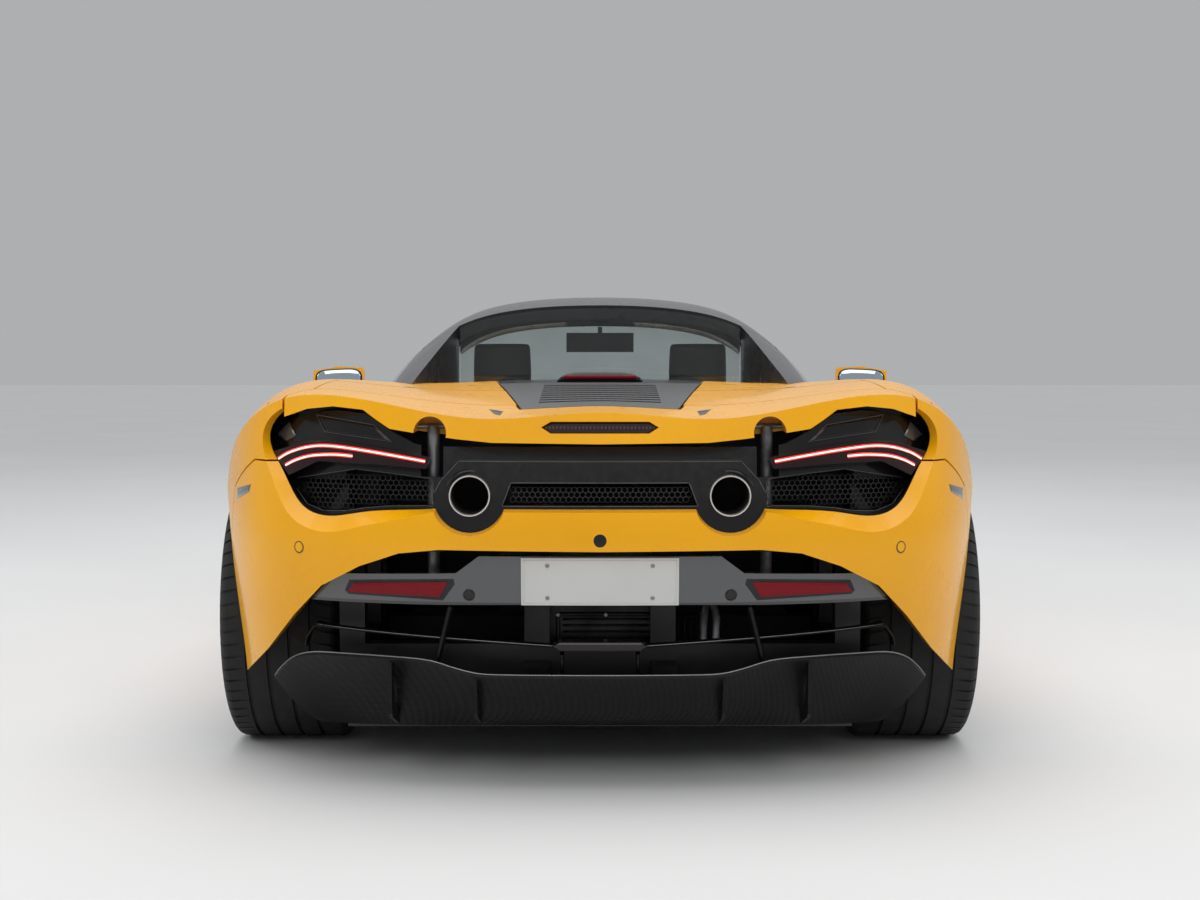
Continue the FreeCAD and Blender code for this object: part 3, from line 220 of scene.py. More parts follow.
floor_finish = Finish("floor", Roughness=0.8)
floor_finish.feed(Base_Color=floor_finish.blend(
    floor_finish.noise(0.8), (0.6, 0.6, 0.6), (0.66, 0.66, 0.66)))
floor_mesh.materials.append(floor_finish.material)

# Painted panels: fenders, quarters, bumpers, deck, doors, lids and wing. Pressed aluminium and
# moulded composite in deep yellow with a fine pearl and a clear coat, bolted to the tub. The middle
# of the tonneau cover is black paint. The walls inside the tail's opening, and the inner faces of
# the quarters and bumper ahead of it, are black as painted shade.
YELLOWS = (0.78, 0.35, 0.002), (0.86, 0.405, 0.003)
BLACKS = (0.008, 0.008, 0.009), (0.016, 0.016, 0.018)
LIP_DEPTH, OPENING_HALF, OPENING_LOW, OPENING_HIGH = 0.037, 0.805, 0.6, 0.902
SHADE_BACK, SHADE_HALF, SHADE_HIGH = -1.86, 0.8, 0.84


def dress(finish, *names):
    for name in names:
        mesh = nodes[name].data
        mesh.materials.clear()
        mesh.materials.append(finish.material)


def painted(name, colours, black_part=None):
    paint = Finish(name, Coat_Weight=0.32, Coat_Roughness=0.05, Specular_IOR_Level=0.2)
    cloud = paint.drift(2.2, 0.0, 1.0)
    colour = paint.blend(cloud, *colours)
    if black_part:
        # The black part is black paint on the tonneau cover, and painted shade inside the tail's
        # opening.
        colour = paint.blend(black_part(*paint.axes()), colour, BLACKS[0])
    paint.feed(
        Base_Color=colour,
        Roughness=paint.drift(12.0, 0.26, 0.31),
        Normal=paint.grain(7.0, 1.0, 0.0002, 0.1),
    )
    return paint


def tail_curve(x):
    """How far the tail's skin lies ahead of its middle, at x."""
    out = x * x
    return out * (0.1824 + out * (out * 0.4312 - 0.0093))


def opening_shade(x, y, z):
    """Painted shade, in black: the walls of the opening from just under the painted lip, and all
    that lies ahead of them.
    """
    skin = tail_curve(x) - 2.2715 - 0.0432 + z * (z * 0.1338 - 0.0177)
    walls = ((y - skin) > LIP_DEPTH) * (abs(x) < OPENING_HALF) * (z < OPENING_HIGH)
    walls = walls * (z > OPENING_LOW) * (y < SHADE_BACK)
    shaded_backs = (abs(x) < SHADE_HALF) * (z < SHADE_HIGH) * (y > SHADE_BACK - 0.001)
    return walls + shaded_backs


def between_buttresses(x, y, z):
    """The middle of the tonneau cover, which narrows towards the back."""
    return abs(x) < y * 0.1105 + 0.4202


yellow = painted("yellow_paint", YELLOWS)
dress(yellow, "front_fenders", "front_bumper", "rear_deck", "door_right", "door_left",
      "front_lid", "rear_wing")
# The black inside the tail's opening is painted shade.
dress(painted("yellow_tail", YELLOWS, opening_shade), "rear_quarters", "rear_bumper")
dress(painted("yellow_and_black", YELLOWS, between_buttresses), "tonneau_cover")

# Roof, screen frame, buttresses and cowl: the same kind of panels in gloss black paint. The roof
# and the buttresses are moulded composite, the cowl is a plastic moulding on clips.
black = painted("black_paint", BLACKS)
dress(black, "windscreen_frame", "roof_panel", "buttress_frames", "cowl_panel")

# Gloss black plastic: the panel round the exhausts, the plate panel and the lamp housings. Each is
# one moulding, clipped in place.


def mottled(name, colours, scale, roughness, rough_scale, grain=None, **fixed):
    """A finish that varies between two near colours and two roughnesses, with or without grain."""
    finish = Finish(name, **fixed)
    finish.feed(
        Base_Color=finish.blend(finish.noise(scale), *colours),
        Roughness=finish.drift(rough_scale, *roughness),
    )
    if grain:
        finish.feed(Normal=finish.grain(*grain))
    return finish


PLATE_BAND_FOOT = 0.452
PLASTIC_GRAIN = 40.0, 2.0, 0.00005, 0.2
piano = mottled(
    "gloss_black", [(0.003, 0.003, 0.0035), (0.006, 0.006, 0.007)], 4.0, (0.13, 0.22), 60.0,
    PLASTIC_GRAIN, Coat_Weight=0.2, Coat_Roughness=0.06, Specular_IOR_Level=0.35)
dress(piano, "rear_panel", "headlamps", "interior_mirror")
plate_gloss = Finish("plate_panel_gloss", Coat_Weight=1.0, Coat_Roughness=0.04)
x, y, z = plate_gloss.axes()
plate_gloss.feed(
    Base_Color=plate_gloss.blend(
        z > PLATE_BAND_FOOT, (0.004, 0.004, 0.0045), (0.052, 0.055, 0.06)),
    Roughness=plate_gloss.drift(60.0, 0.1, 0.18),
    Normal=plate_gloss.grain(*PLASTIC_GRAIN),
)
dress(plate_gloss, "plate_panel")

# Carbon fibre: tub, flat floor, splitter, sills, engine cover and diffuser. Twill under a satin
# clear coat, where each tow passes over two others and under two.
TOW_WIDTH, TWILL_TOWS, TOWS_OVER = 0.004, 4, 2
TWILL_GREYS = (0.009, 0.009, 0.01), (0.024, 0.025, 0.027)


def twilled(name, dark, light, coat=0.35):
    carbon = Finish(
        name, Coat_Weight=coat, Coat_Roughness=0.25, Specular_IOR_Level=0.105 + 0.7 * coat)
    x, y, z = carbon.axes()
    across = ((x + z) / TOW_WIDTH) % TWILL_TOWS
    along = ((y + z * 0.5) / TOW_WIDTH) % TWILL_TOWS
    twill = ((across + along) % TWILL_TOWS) < TOWS_OVER
    carbon.feed(
        Base_Color=carbon.blend(twill, dark, light),
        Roughness=carbon.range(twill, 0, 1, 0.32, 0.46),
        Normal=carbon.bump(twill, 0.00003, 0.2),
    )
    return carbon


dress(twilled("carbon_twill", *TWILL_GREYS),
      "chassis_tub", "undertray", "front_splitter", "side_skirts", "engine_cover")

# Frames, uprights, arms and engine: cast and welded aluminium and steel, bolted to the tub and
# the rear frame, and dulled by grime.


def metal(name, clean, dirty, metallic, grime_scale, grain):
    finish = Finish(name, Metallic=metallic)
    grime = finish.range(finish.noise(grime_scale, 6.0), 0.42, 0.7, 0.0, 1.0)
    finish.feed(
        Base_Color=finish.blend(grime, clean, dirty),
        Roughness=finish.range(grime, 0, 1, 0.4, 0.68),
        Normal=finish.bump(finish.noise(grain, 2.0), 0.0003, 0.4),
    )
    return finish


alloy = metal("cast_alloy", (0.26, 0.27, 0.29), (0.06, 0.055, 0.05), 0.8, 14.0, 500.0)
dress(alloy, "front_structure", "suspension_arms", "rear_uprights", "knuckle_fl", "knuckle_fr",
      "wing_rods")
frame_black = metal("black_frame", (0.007, 0.007, 0.0075), (0.016, 0.015, 0.014), 0.2, 9.0, 400.0)
dress(frame_black, "rear_frame")
casting = metal("engine_casting", (0.03, 0.03, 0.032), (0.01, 0.01, 0.01), 0.5, 11.0, 350.0)
dress(casting, "engine_block")

# Windows: laminated and toughened glass, lightly tinted, with a faint film of dust. The panes in
# the buttresses are smoked, and the headlamps have clear covers.


def pane(name, clean, dusty, ior):
    finish = Finish(name, Transmission_Weight=1.0, IOR=ior)
    dust = finish.range(finish.noise(6.0, 6.0), 0.5, 0.8, 0.0, 1.0)
    finish.feed(
        Base_Color=finish.blend(dust, clean, dusty),
        Roughness=finish.range(dust, 0, 1, 0.0, 0.05),
    )
    return finish


glass = pane("window_glass", (0.74, 0.79, 0.78), (0.66, 0.7, 0.69), 1.45)
dress(glass, "windscreen", "rear_window", "door_glass_right", "door_glass_left")
dress(pane("smoked_glass", (0.1, 0.11, 0.115), (0.14, 0.15, 0.155), 1.45), "buttress_glass")
dress(pane("clear_cover", (0.93, 0.95, 0.96), (0.88, 0.9, 0.91), 1.49), "headlamp_lenses")

# Tail lamps: a smoky dark red moulding on each side, ribbed behind its skin, with two thin light
# guides along it. The long one runs from the outer end nearly to the wing's rods.
RIB_PITCH = 0.0045
lamp_red = Finish("lamp_red", Coat_Weight=0.4, Coat_Roughness=0.04, Specular_IOR_Level=0.2)
x, y, z = lamp_red.axes()
ribs = ((abs(x) + z) / RIB_PITCH) % 1
lamp_red.feed(
    Base_Color=lamp_red.blend(ribs, (0.005, 0.0008, 0.001), (0.02, 0.002, 0.003)),
    Roughness=lamp_red.drift(40.0, 0.14, 0.22),
    Normal=lamp_red.bump(ribs, 0.0002, 0.35),
)
dress(lamp_red, "tail_lamps")

trees = {}


def touch(name, start, way):
    """Where a line from start along way meets a CAD node, and the surface's normal there."""
    if name not in trees:
        mesh = nodes[name].data
        points = [v.co for v in mesh.vertices]
        trees[name] = BVHTree.FromPolygons(points, [p.vertices for p in mesh.polygons])
    hit, normal, _, _ = trees[name].ray_cast(Vector(start), Vector(way))
    if normal and normal.dot(Vector(way)) > 0:
        normal = -normal
    return hit, normal


def on_back(name, x, z, lift=0.0, start=-4.0):
    """A point on the back of a node, at x and z, lifted off it."""
    hit, _ = touch(name, (x, start, z), (0, 1, 0))
    return hit and Vector((x, hit.y - lift, z))


def on_top(name, x, y):
    return touch(name, (x, y, 2), (0, 0, -1))[0]


def seen_at(name, column, row, hand=1):
    """The point of a node that the camera sees at a place in the picture, and its normal. A hand of
    -1 mirrors the place."""
    ahead = Vector((0, math.cos(CAMERA_TILT), -math.sin(CAMERA_TILT)))
    up = Vector((0, math.sin(CAMERA_TILT), math.cos(CAMERA_TILT)))
    right = (column - PICTURE_WIDTH / 2) * hand
    way = ahead + Vector((right, 0, 0)) / CAMERA_FOCUS
    way += up * ((PICTURE_HEIGHT / 2 - row) / CAMERA_FOCUS)
    return touch(name, CAMERA_PLACE, way.normalized())


def make_piece(form, name, finish, body, smooth=False):
    """Turns a bmesh into a piece that rides on a body."""
    bmesh.ops.recalc_face_normals(form, faces=form.faces)
    mesh = bpy.data.meshes.new(name)
    form.to_mesh(mesh)
    form.free()
    mesh.materials.append(finish.material)
    for polygon in mesh.polygons:
        polygon.use_smooth = smooth
    piece = add_object(name, mesh)
    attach(piece, body)
    return piece


def even_line(points, count):
    """A smooth line through points, in count even steps."""
    ends = [points[0]] + list(points) + [points[-1]]
    line = []
    for i in range(count + 1):
        at = i / count * (len(points) - 1)
        k = min(int(at), len(points) - 2)
        u = at - k
        a, b, c, d = (Vector(p) for p in ends[k:k + 4])
        line.append(0.5 * (2 * b + (c - a) * u + (2 * a - 5 * b + 4 * c - d) * u * u
                           + (3 * b - 3 * c + d - a) * u * u * u))
    return line


def straight(start, end, count):
    """The points from start to end in count even steps."""
    return [Vector(start).lerp(Vector(end), k / count) for k in range(count + 1)]


def laid_on(name, line, lift=0.0):
    """The points of a line, set on the back of a node where they meet it."""
    spots = [on_back(name, p.x, p.z, lift) for p in line]
    return [p for p in spots if p]


def add_rings(form, rings, closed=False):
    """Faces from ring to ring, and over both ends unless the last ring meets the first."""
    for near, far in zip(rings, rings[1:] + (rings[:1] if closed else [])):
        for k in range(len(near)):
            m = (k + 1) % len(near)
            form.faces.new((near[k], near[m], far[m], far[k]))
    if not closed:
        form.faces.new(rings[0][::-1])
        form.faces.new(rings[-1])


def add_bar(form, line, half_width, half_height, sides=8, closed=False):
    """A bar of oval section along a line, into a bmesh. Its width is square to Y. The values that
    end in _BAR are a half width and a half height."""
    rings = []
    last = len(line) - 1
    turns = [2 * math.pi * (k + 0.5) / sides for k in range(sides)]
    for i, p in enumerate(line):
        if closed:
            along = (line[(i + 1) % len(line)] - line[i - 1]).normalized()
        else:
            along = (line[min(i + 1, last)] - line[max(i - 1, 0)]).normalized()
        side = along.cross(Vector((0, 1, 0)))
        side = side.normalized() if side.length > 0.05 else Vector((1, 0, 0))
        up = side.cross(along).normalized()
        rings.append([form.verts.new(
            p + side * half_width * math.cos(a) + up * half_height * math.sin(a)) for a in turns])
    add_rings(form, rings, closed)


GUIDES = [
    # points of x and z from the outer end inwards
    [(0.764, 0.771), (0.735, 0.787), (0.69, 0.801), (0.64, 0.806), (0.57, 0.8),
     (0.48, 0.787), (0.402, 0.774)],
    [(0.744, 0.757), (0.715, 0.771), (0.675, 0.782), (0.62, 0.786), (0.575, 0.7835)],
]
GUIDE_PARTS = [
    # name, finish, half width, half height, lift
    ("tail_light_edges", ("light_edge", (0.9, 0.012, 0.012), 1.0), 0.0052, 0.0016, 0.0),
    ("tail_light_cores", ("light_core", (1.0, 0.62, 0.52), 1.6), 0.0021, 0.002, 0.0012),
]


def glowing(name, colour, strength):
    finish = Finish(name, Roughness=0.3, Emission_Strength=strength)
    flow = finish.drift(60.0, 0.0, 1.0)
    dimmer = tuple(c * 0.86 for c in colour)
    finish.feed(Base_Color=colour, Emission_Color=finish.blend(flow, dimmer, colour))
    return finish


for name, light, half_width, half_height, lift in GUIDE_PARTS:
    form = bmesh.new()
    for hand in (-1, 1):
        for points in GUIDES:
            line = even_line([(hand * x, 0, z) for x, z in points], 70)
            add_bar(form, laid_on("tail_lamps", line, lift), half_width, half_height)
    make_piece(form, name, glowing(*light), "body", True)

# Housing behind the tail lamps: a framed black glass pane over the long lamp, and a bare facet of
# the moulding outboard of it, both bonded to the black panel.
SLAB_SINK = 0.001


def add_slab(form, rows, thick, bevel):
    """A closed slab on a grid of (point, normal), with its edge eased."""
    skin = []
    count, width = len(rows), len(rows[0])
    for i, row in enumerate(rows):
        skin.append([])
        for j, (point, normal) in enumerate(row):
            edge = i in (0, count - 1) or j in (0, width - 1)
            skin[-1].append(form.verts.new(point + normal * (thick - bevel if edge else thick)))
    back = [[form.verts.new(point - normal * SLAB_SINK) for point, normal in row] for row in rows]
    for grid, order in ((skin, 1), (back, -1)):
        for low, high in zip(grid, grid[1:]):
            for j in range(width - 1):
                form.faces.new((low[j], low[j + 1], high[j + 1], high[j])[::order])
    skin_rim, back_rim = rim_of(skin), rim_of(back)
    for k in range(len(skin_rim)):
        form.faces.new((skin_rim[k - 1], skin_rim[k], back_rim[k], back_rim[k - 1]))


def rim_of(grid):
    """What lies round the edge of a grid, in order."""
    right = [row[-1] for row in grid[1:]]
    left = [row[0] for row in grid[-2:0:-1]]
    return grid[0] + right + grid[-1][-2::-1] + left


def grid_seen(name, corners, columns, rows, hand):
    """A grid of points on a node, between four corners given as places in the picture."""
    a, b, c, d = (Vector(corner) for corner in corners)
    grid = []
    for i in range(rows + 1):
        start, end = a.lerp(d, i / rows), b.lerp(c, i / rows)
        places = [start.lerp(end, j / columns) for j in range(columns + 1)]
        grid.append([seen_at(name, place.x, place.y, hand) for place in places])
    return grid


def slabs_seen(name, corners, columns, rows, thick, bevel=0.0012):
    """A slab on each side of a node, between four corners given as places in the picture."""
    form = bmesh.new()
    for hand in (1, -1):
        add_slab(form, grid_seen(name, corners, columns, rows, hand), thick, bevel)
    return form


edge_grey = mottled(
    "edge_grey", [(0.1, 0.1, 0.105), (0.15, 0.15, 0.155)], 14.0, (0.3, 0.42), 80.0, Metallic=0.5)
PANE_CORNERS = [(317.5, 415.0), (374.0, 425.0), (392.0, 442.0), (325.5, 432.0)]
FACET_CORNERS = [(278.5, 434.0), (290.0, 422.0), (296.5, 435.5), (287.0, 441.0)]
PANE_THICK, PANE_RIM, FACET_THICK = 0.0022, 0.0012, 0.0035
form = slabs_seen("rear_panel", PANE_CORNERS, 16, 6, PANE_THICK)
make_piece(form, "lamp_housing_panes", piano, "body")
form = bmesh.new()
for hand in (1, -1):
    rim = rim_of(grid_seen("rear_panel", PANE_CORNERS, 16, 6, hand))
    rim = [point + normal * (PANE_THICK + 0.0002) for point, normal in rim]
    add_bar(form, rim, PANE_RIM, PANE_RIM, 6, True)
make_piece(form, "lamp_housing_frames", edge_grey, "body", True)
form = slabs_seen("rear_panel", FACET_CORNERS, 8, 4, FACET_THICK)
make_piece(form, "lamp_housing_facets", plate_gloss, "body")

# Meshes over the cooling outlets: sheet with six-sided holes, held behind the panel, with a thin
# grey frame round each. The front intakes have a coarser one. A grey bar along the top edge and
# chamfers of the middle panel is a painted highlight.
mesh_black = mottled(
    "mesh_black", [(0.01, 0.01, 0.011), (0.03, 0.03, 0.032)], 12.0, (0.3, 0.45), 80.0,
    (600.0, 1.0, 0.0001, 0.3), Metallic=0.3, Specular_IOR_Level=0.4)


def hexagon_sheet(node, pitch, bar, depth, way):
    """A sheet of six-sided holes over the back or the front of a node, in its place."""
    form = bmesh.new()
    low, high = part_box(node)
    row_step = pitch * 0.866
    corners = {}

    def corner(cx, cz, k, scale):
        a, reach = math.radians(60 * k + 30), pitch / math.sqrt(3) * scale
        px, pz = cx + reach * math.cos(a), cz + reach * math.sin(a)
        key = round(px, 5), round(pz, 5)
        if key not in corners:
            hit, _ = touch(node, (px, -4 * way, pz), (0, way, 0))
            corners[key] = hit and [
                form.verts.new(hit), form.verts.new(hit + Vector((0, depth * way, 0)))]
        return corners[key]

    for row in range(int((high.z - low.z) / row_step) + 2):
        for column in range(int((high.x - low.x) / pitch) + 2):
            cx = low.x + (column + 0.5 * (row % 2)) * pitch
            cz = low.z + row * row_step
            outer = [corner(cx, cz, k, 1.0) for k in range(6)]
            inner = [corner(cx, cz, k, 1 - 2 * bar / pitch) for k in range(6)]
            if None in outer or None in inner:
                continue
            for k in range(6):
                m = (k + 1) % 6
                a, b, c, d = outer[k], outer[m], inner[k], inner[m]
                form.faces.new((a[0], b[0], d[0], c[0]))
                form.faces.new((c[0], d[0], d[1], c[1]))
                form.faces.new((a[1], c[1], d[1], b[1]))
    return form


rear_sheet = make_piece(hexagon_sheet("rear_mesh", 0.0128, 0.0009, 0.003, 1),
                        "rear_mesh_holes", mesh_black, "body")
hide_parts("rear_mesh")
front_sheet = make_piece(hexagon_sheet("front_grilles", 0.026, 0.0028, 0.006, -1),
                         "front_grille_holes", mesh_black, "body")
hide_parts("front_grilles")

MESH_FRAMES_AND_HIGHLIGHT = [
    # corners of x and z on the right side
    [(0.72, 0.726), (0.571, 0.752), (0.483, 0.743), (0.387, 0.732), (0.383, 0.67),
     (0.483, 0.668), (0.548, 0.662), (0.592, 0.654), (0.65, 0.652), (0.692, 0.666),
     (0.72, 0.7)],
    [(0.0, 0.726), (0.2045, 0.726), (0.224, 0.673), (0.0, 0.673)],
    # the middle panel's chamfer: a grey bar as painted highlight
    [(0.325, 0.774), (0.366, 0.73), (0.381, 0.701)],
]
# The grey bar along the middle panel's top edge is a painted highlight.
TOP_HIGHLIGHT = (0.325, 0.774)
FRAME_LIFT, FRAME_HALF, FRAME_STEP = 0.0003, 0.0009, 0.012
form = bmesh.new()
for corners in MESH_FRAMES_AND_HIGHLIGHT:
    for hand in (-1, 1):
        for (ax, az), (bx, bz) in zip(corners, corners[1:]):
            count = max(2, int(math.hypot(bx - ax, bz - az) / FRAME_STEP))
            line = straight((hand * ax, 0, az), (hand * bx, 0, bz), count)
            line = laid_on("rear_panel", line, FRAME_LIFT)
            if len(line) > 1:
                add_bar(form, line, FRAME_HALF, FRAME_HALF, 6)
top_x, top_z = TOP_HIGHLIGHT
line = laid_on("rear_panel", straight((-top_x, 0, top_z), (top_x, 0, top_z), 40), FRAME_LIFT)
add_bar(form, line, FRAME_HALF, FRAME_HALF, 6)
make_piece(form, "mesh_frames_and_highlight", edge_grey, "body", True)

# Exhaust tips: rolled stainless pipe with a bright rim, blued by heat. Deeper in the bore it turns
# dark and dull: soot, and painted shade. A moulded black ring stands round each.
RIM_BRIGHT, SOOT_AND_SHADE_DEPTH = 0.003, 0.03
tips_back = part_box("exhaust_tips")[0].y
pipe = Finish("exhaust_steel")
x, y, z = pipe.axes()
# Darker and less metallic deeper into the bore: soot and painted shade.
inwards = pipe.range(y, tips_back + RIM_BRIGHT, tips_back + SOOT_AND_SHADE_DEPTH, 0.0, 1.0)
pipe.feed(
    Base_Color=pipe.blend(inwards, (0.8, 0.74, 0.7), (0.018, 0.016, 0.015)),
    Metallic=pipe.range(inwards, 0, 1, 1.0, 0.1),
    Roughness=pipe.range(inwards, 0, 1, 0.22, 0.85),
    Normal=pipe.grain(300.0, 2.0, 0.00008, 0.3),
)
dress(pipe, "exhaust_tips")


def add_lathe(form, centre, axis, profile, sides=48, closed=False):
    """A profile of (along, radius) turned round an axis."""
    axis = Vector(axis).normalized()
    side = axis.orthogonal().normalized()
    other = axis.cross(side)
    turns = [2 * math.pi * k / sides for k in range(sides)]
    rings = []
    for along, radius in profile:
        middle = Vector(centre) + axis * along
        rings.append([form.verts.new(
            middle + (side * math.cos(a) + other * math.sin(a)) * radius) for a in turns])
    add_rings(form, rings, closed)


TIP_X, TIP_Z, RING_INSET = 0.298, 0.697, 0.002
TIP_RING = [
    # along, radius
    (0.0, 0.049), (0.0, 0.06), (0.0035, 0.0575), (0.0045, 0.054), (0.004, 0.0505),
    (0.001, 0.049),
]
form = bmesh.new()
for hand in (-1, 1):
    face = on_back("rear_panel", hand * TIP_X, TIP_Z + 0.06)
    add_lathe(form, (hand * TIP_X, face.y + RING_INSET, TIP_Z), (0, -1, 0), TIP_RING, 64, True)
make_piece(form, "exhaust_rings", piano, "body", True)

# The plate: a blank pressed plate in pale reflective film, with a raised rim. Four steel screws
# hold it to its panel.
CELL = 0.0016
PLATE_INSET, SCREW_X, SCREW_INSET = 0.0055, 0.12, 0.012
PLATE_BAR = 0.0014, 0.0012
SCREW = [(0, 0.005), (0.0022, 0.0048), (0.0032, 0.0036), (0.0033, 0.0016), (0.0022, 0.0014)]
film = mottled(
    "plate_film", [(0.52, 0.52, 0.5), (0.6, 0.6, 0.58)], 6.0, (0.32, 0.45), 40.0)
x, y, z = film.axes()
film.feed(Normal=film.bump(((x / CELL) % 1) * ((z / CELL) % 1), 0.00004, 0.25))
dress(film, "number_plate")
plate_low, plate_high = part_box("number_plate")
left, right = plate_low.x + PLATE_INSET, plate_high.x - PLATE_INSET
low, high = plate_low.z + PLATE_INSET, plate_high.z - PLATE_INSET
corners = [(left, 0, low), (right, 0, low), (right, 0, high), (left, 0, high)]
form = bmesh.new()
for start, end in zip(corners, corners[1:] + corners[:1]):
    add_bar(form, laid_on("number_plate", straight(start, end, 16)), *PLATE_BAR)
make_piece(form, "number_plate_rim", film, "body", True)
steel = mottled(
    "bolt_steel", [(0.22, 0.22, 0.23), (0.34, 0.34, 0.35)], 80.0, (0.3, 0.45), 120.0, Metallic=0.9)
form = bmesh.new()
for x in (-SCREW_X, SCREW_X):
    for z in (low + SCREW_INSET, high - SCREW_INSET):
        add_lathe(form, on_back("number_plate", x, z, -0.001), (0, -1, 0), SCREW, 20)
make_piece(form, "number_plate_screws", steel, "body", True)

# Diffuser: a carbon-fibre floor that rises behind the axle to a lip, its carbon darkened far
# below the tub's as painted shade from under the car. A grey bar along the lip's edge is a painted
# highlight. Four fins hang under it, and two blades and two stays stand over it, screwed to the
# frame; a grey bar along each blade is a painted highlight too. The rear fog lamp is a dark lens
# in the middle of the blades.
# Carbon darkened well below the tub's twill: painted shade from under the car.
diffuser_carbon_and_shade = twilled("diffuser_twill_and_shade", (0.0022, 0.0022, 0.0027), (0.0034, 0.0034, 0.0039), 0.1)


def low_skin(x, z):
    """Y of the tail's skin below the plate."""
    return tail_curve(x) - 2.2011 - 0.345 * (z - 0.28)


LIP = [
    # x and z of the lip's edge, from the middle to the tip
    (0.0, 0.276), (0.1, 0.276), (0.2, 0.276), (0.275, 0.2775), (0.33, 0.289),
    (0.4, 0.3092), (0.5, 0.3155), (0.607, 0.317), (0.68, 0.3135), (0.7296, 0.296),
    (0.765, 0.266), (0.787, 0.239),
]
FLOOR_FRONT_Y, FLOOR_FRONT_Z, FLOOR_HALF, FLOOR_SAG = -1.905, 0.11, 0.68, 0.024
FLOOR_SKIN = Vector((0, 0, 0.0035))
LIP_BAR, LIP_RAISE = (0.0016, 0.0035), Vector((0, 0.003, 0.0038))
half_edge = even_line([(x, 0, z) for x, z in LIP], 36)
lip_edge = [Vector((-p.x, 0, p.z)) for p in reversed(half_edge[1:])] + half_edge
for p in lip_edge:
    p.y = low_skin(p.x, p.z) + 0.004
form = bmesh.new()
columns = []
for p in lip_edge:
    reach = abs(p.x) / LIP[-1][0]
    corner = reach ** 6
    front = Vector((math.copysign(FLOOR_HALF * reach, p.x), FLOOR_FRONT_Y - 0.05 * corner,
                    FLOOR_FRONT_Z + 0.02 * corner))
    column = straight(front, p, 10)
    for k, point in enumerate(column):
        point.z -= FLOOR_SAG * math.sin(math.pi * k / 10) * (1 - 0.5 * reach)
    top = [form.verts.new(q + FLOOR_SKIN + Vector((0, 0.002, 0))) for q in column]
    columns.append(top + [form.verts.new(q - FLOOR_SKIN) for q in reversed(column)])
add_rings(form, columns)
diffuser_floor = make_piece(form, "diffuser_floor", diffuser_carbon_and_shade, "body")
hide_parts("diffuser")
# Grey bars along the lip's edge and along the blades: painted highlights.
painted_highlight_grey = mottled(
    "painted_highlight_grey", [(0.22, 0.22, 0.23), (0.34, 0.34, 0.35)], 9.0, (0.3, 0.42), 60.0, Metallic=0.9)
form = bmesh.new()
add_bar(form, [p + LIP_RAISE for p in lip_edge], *LIP_BAR)
make_piece(form, "diffuser_lip_highlight", painted_highlight_grey, "body", True)

FIN_THICK = 0.004
FIN_SIDE = [
    # y and z of the fin's outline, up to the lip
    (-1.96, 0.139), (-1.985, 0.128), (-2.085, 0.158), (-2.12, 0.166), (-2.142, 0.18),
    (-2.15, 0.205),
]
form = bmesh.new()
for x in (-0.489, -0.29, 0.29, 0.489):
    top = min(lip_edge, key=lambda p: abs(p.x - x))
    side = FIN_SIDE + [(top.y + 0.01, top.z - 0.004), (-2.06, 0.19)]
    add_rings(form, [
        [form.verts.new((x + dx, y, z)) for y, z in side] for dx in (-FIN_THICK, FIN_THICK)])
make_piece(form, "diffuser_fins", diffuser_carbon_and_shade, "body")

BLADE_START, BLADE_END = (0.096, 0, 0.3445), (0.67, 0, 0.3815)
BLADE_TIP = [
    # x and z of the turned-down tip, and where on the skin it is measured
    (0.694, 0.352, 0.69, 0.34), (0.7, 0.331, 0.7, 0.33),
]
STAY_TOP, STAY_FOOT = Vector((0.343, 0, 0.4446)), Vector((0.382, 0, 0.2946))
BRACKET_X, BRACKET_ZS = 0.088, (0.268, 0.285, 0.305, 0.33)
BLADE_BAR, STAY_BAR, BRACKET_BAR = (0.0048, 0.017), (0.0072, 0.022), (0.005, 0.016)
EDGE_BAR, EDGE_SHIFT = (0.0009, 0.0012), Vector((0, -0.0155, 0.0016))
# how far each lies ahead of the tail's skin
BLADE_SET, TIP_SET, STAY_SET, BRACKET_SET = 0.056, 0.058, 0.044, 0.045
blades, edges = bmesh.new(), bmesh.new()
for hand in (-1, 1):
    line = [Vector((hand * p.x, low_skin(p.x, p.z) + BLADE_SET, p.z))
            for p in straight(BLADE_START, BLADE_END, 24)]
    # A grey bar along the blade's edge: painted highlight.
    add_bar(edges, [p + EDGE_SHIFT for p in line], *EDGE_BAR, 6)
    line += [Vector((hand * x, low_skin(skin_x, skin_z) + TIP_SET, z))
             for x, z, skin_x, skin_z in BLADE_TIP]
    add_bar(blades, line, *BLADE_BAR, 10)
    stay = [Vector((hand * p.x, low_skin(0.36, p.z - 0.0046) + STAY_SET, p.z))
            for p in straight(STAY_TOP, STAY_FOOT, 12)]
    add_bar(blades, stay, *STAY_BAR, 12)
    bracket = [Vector((hand * BRACKET_X, low_skin(0.09, z) + BRACKET_SET, z)) for z in BRACKET_ZS]
    add_bar(blades, bracket, *BRACKET_BAR)
make_piece(blades, "diffuser_blades", diffuser_carbon_and_shade, "body", True)
make_piece(edges, "diffuser_blade_highlights", painted_highlight_grey, "body", True)

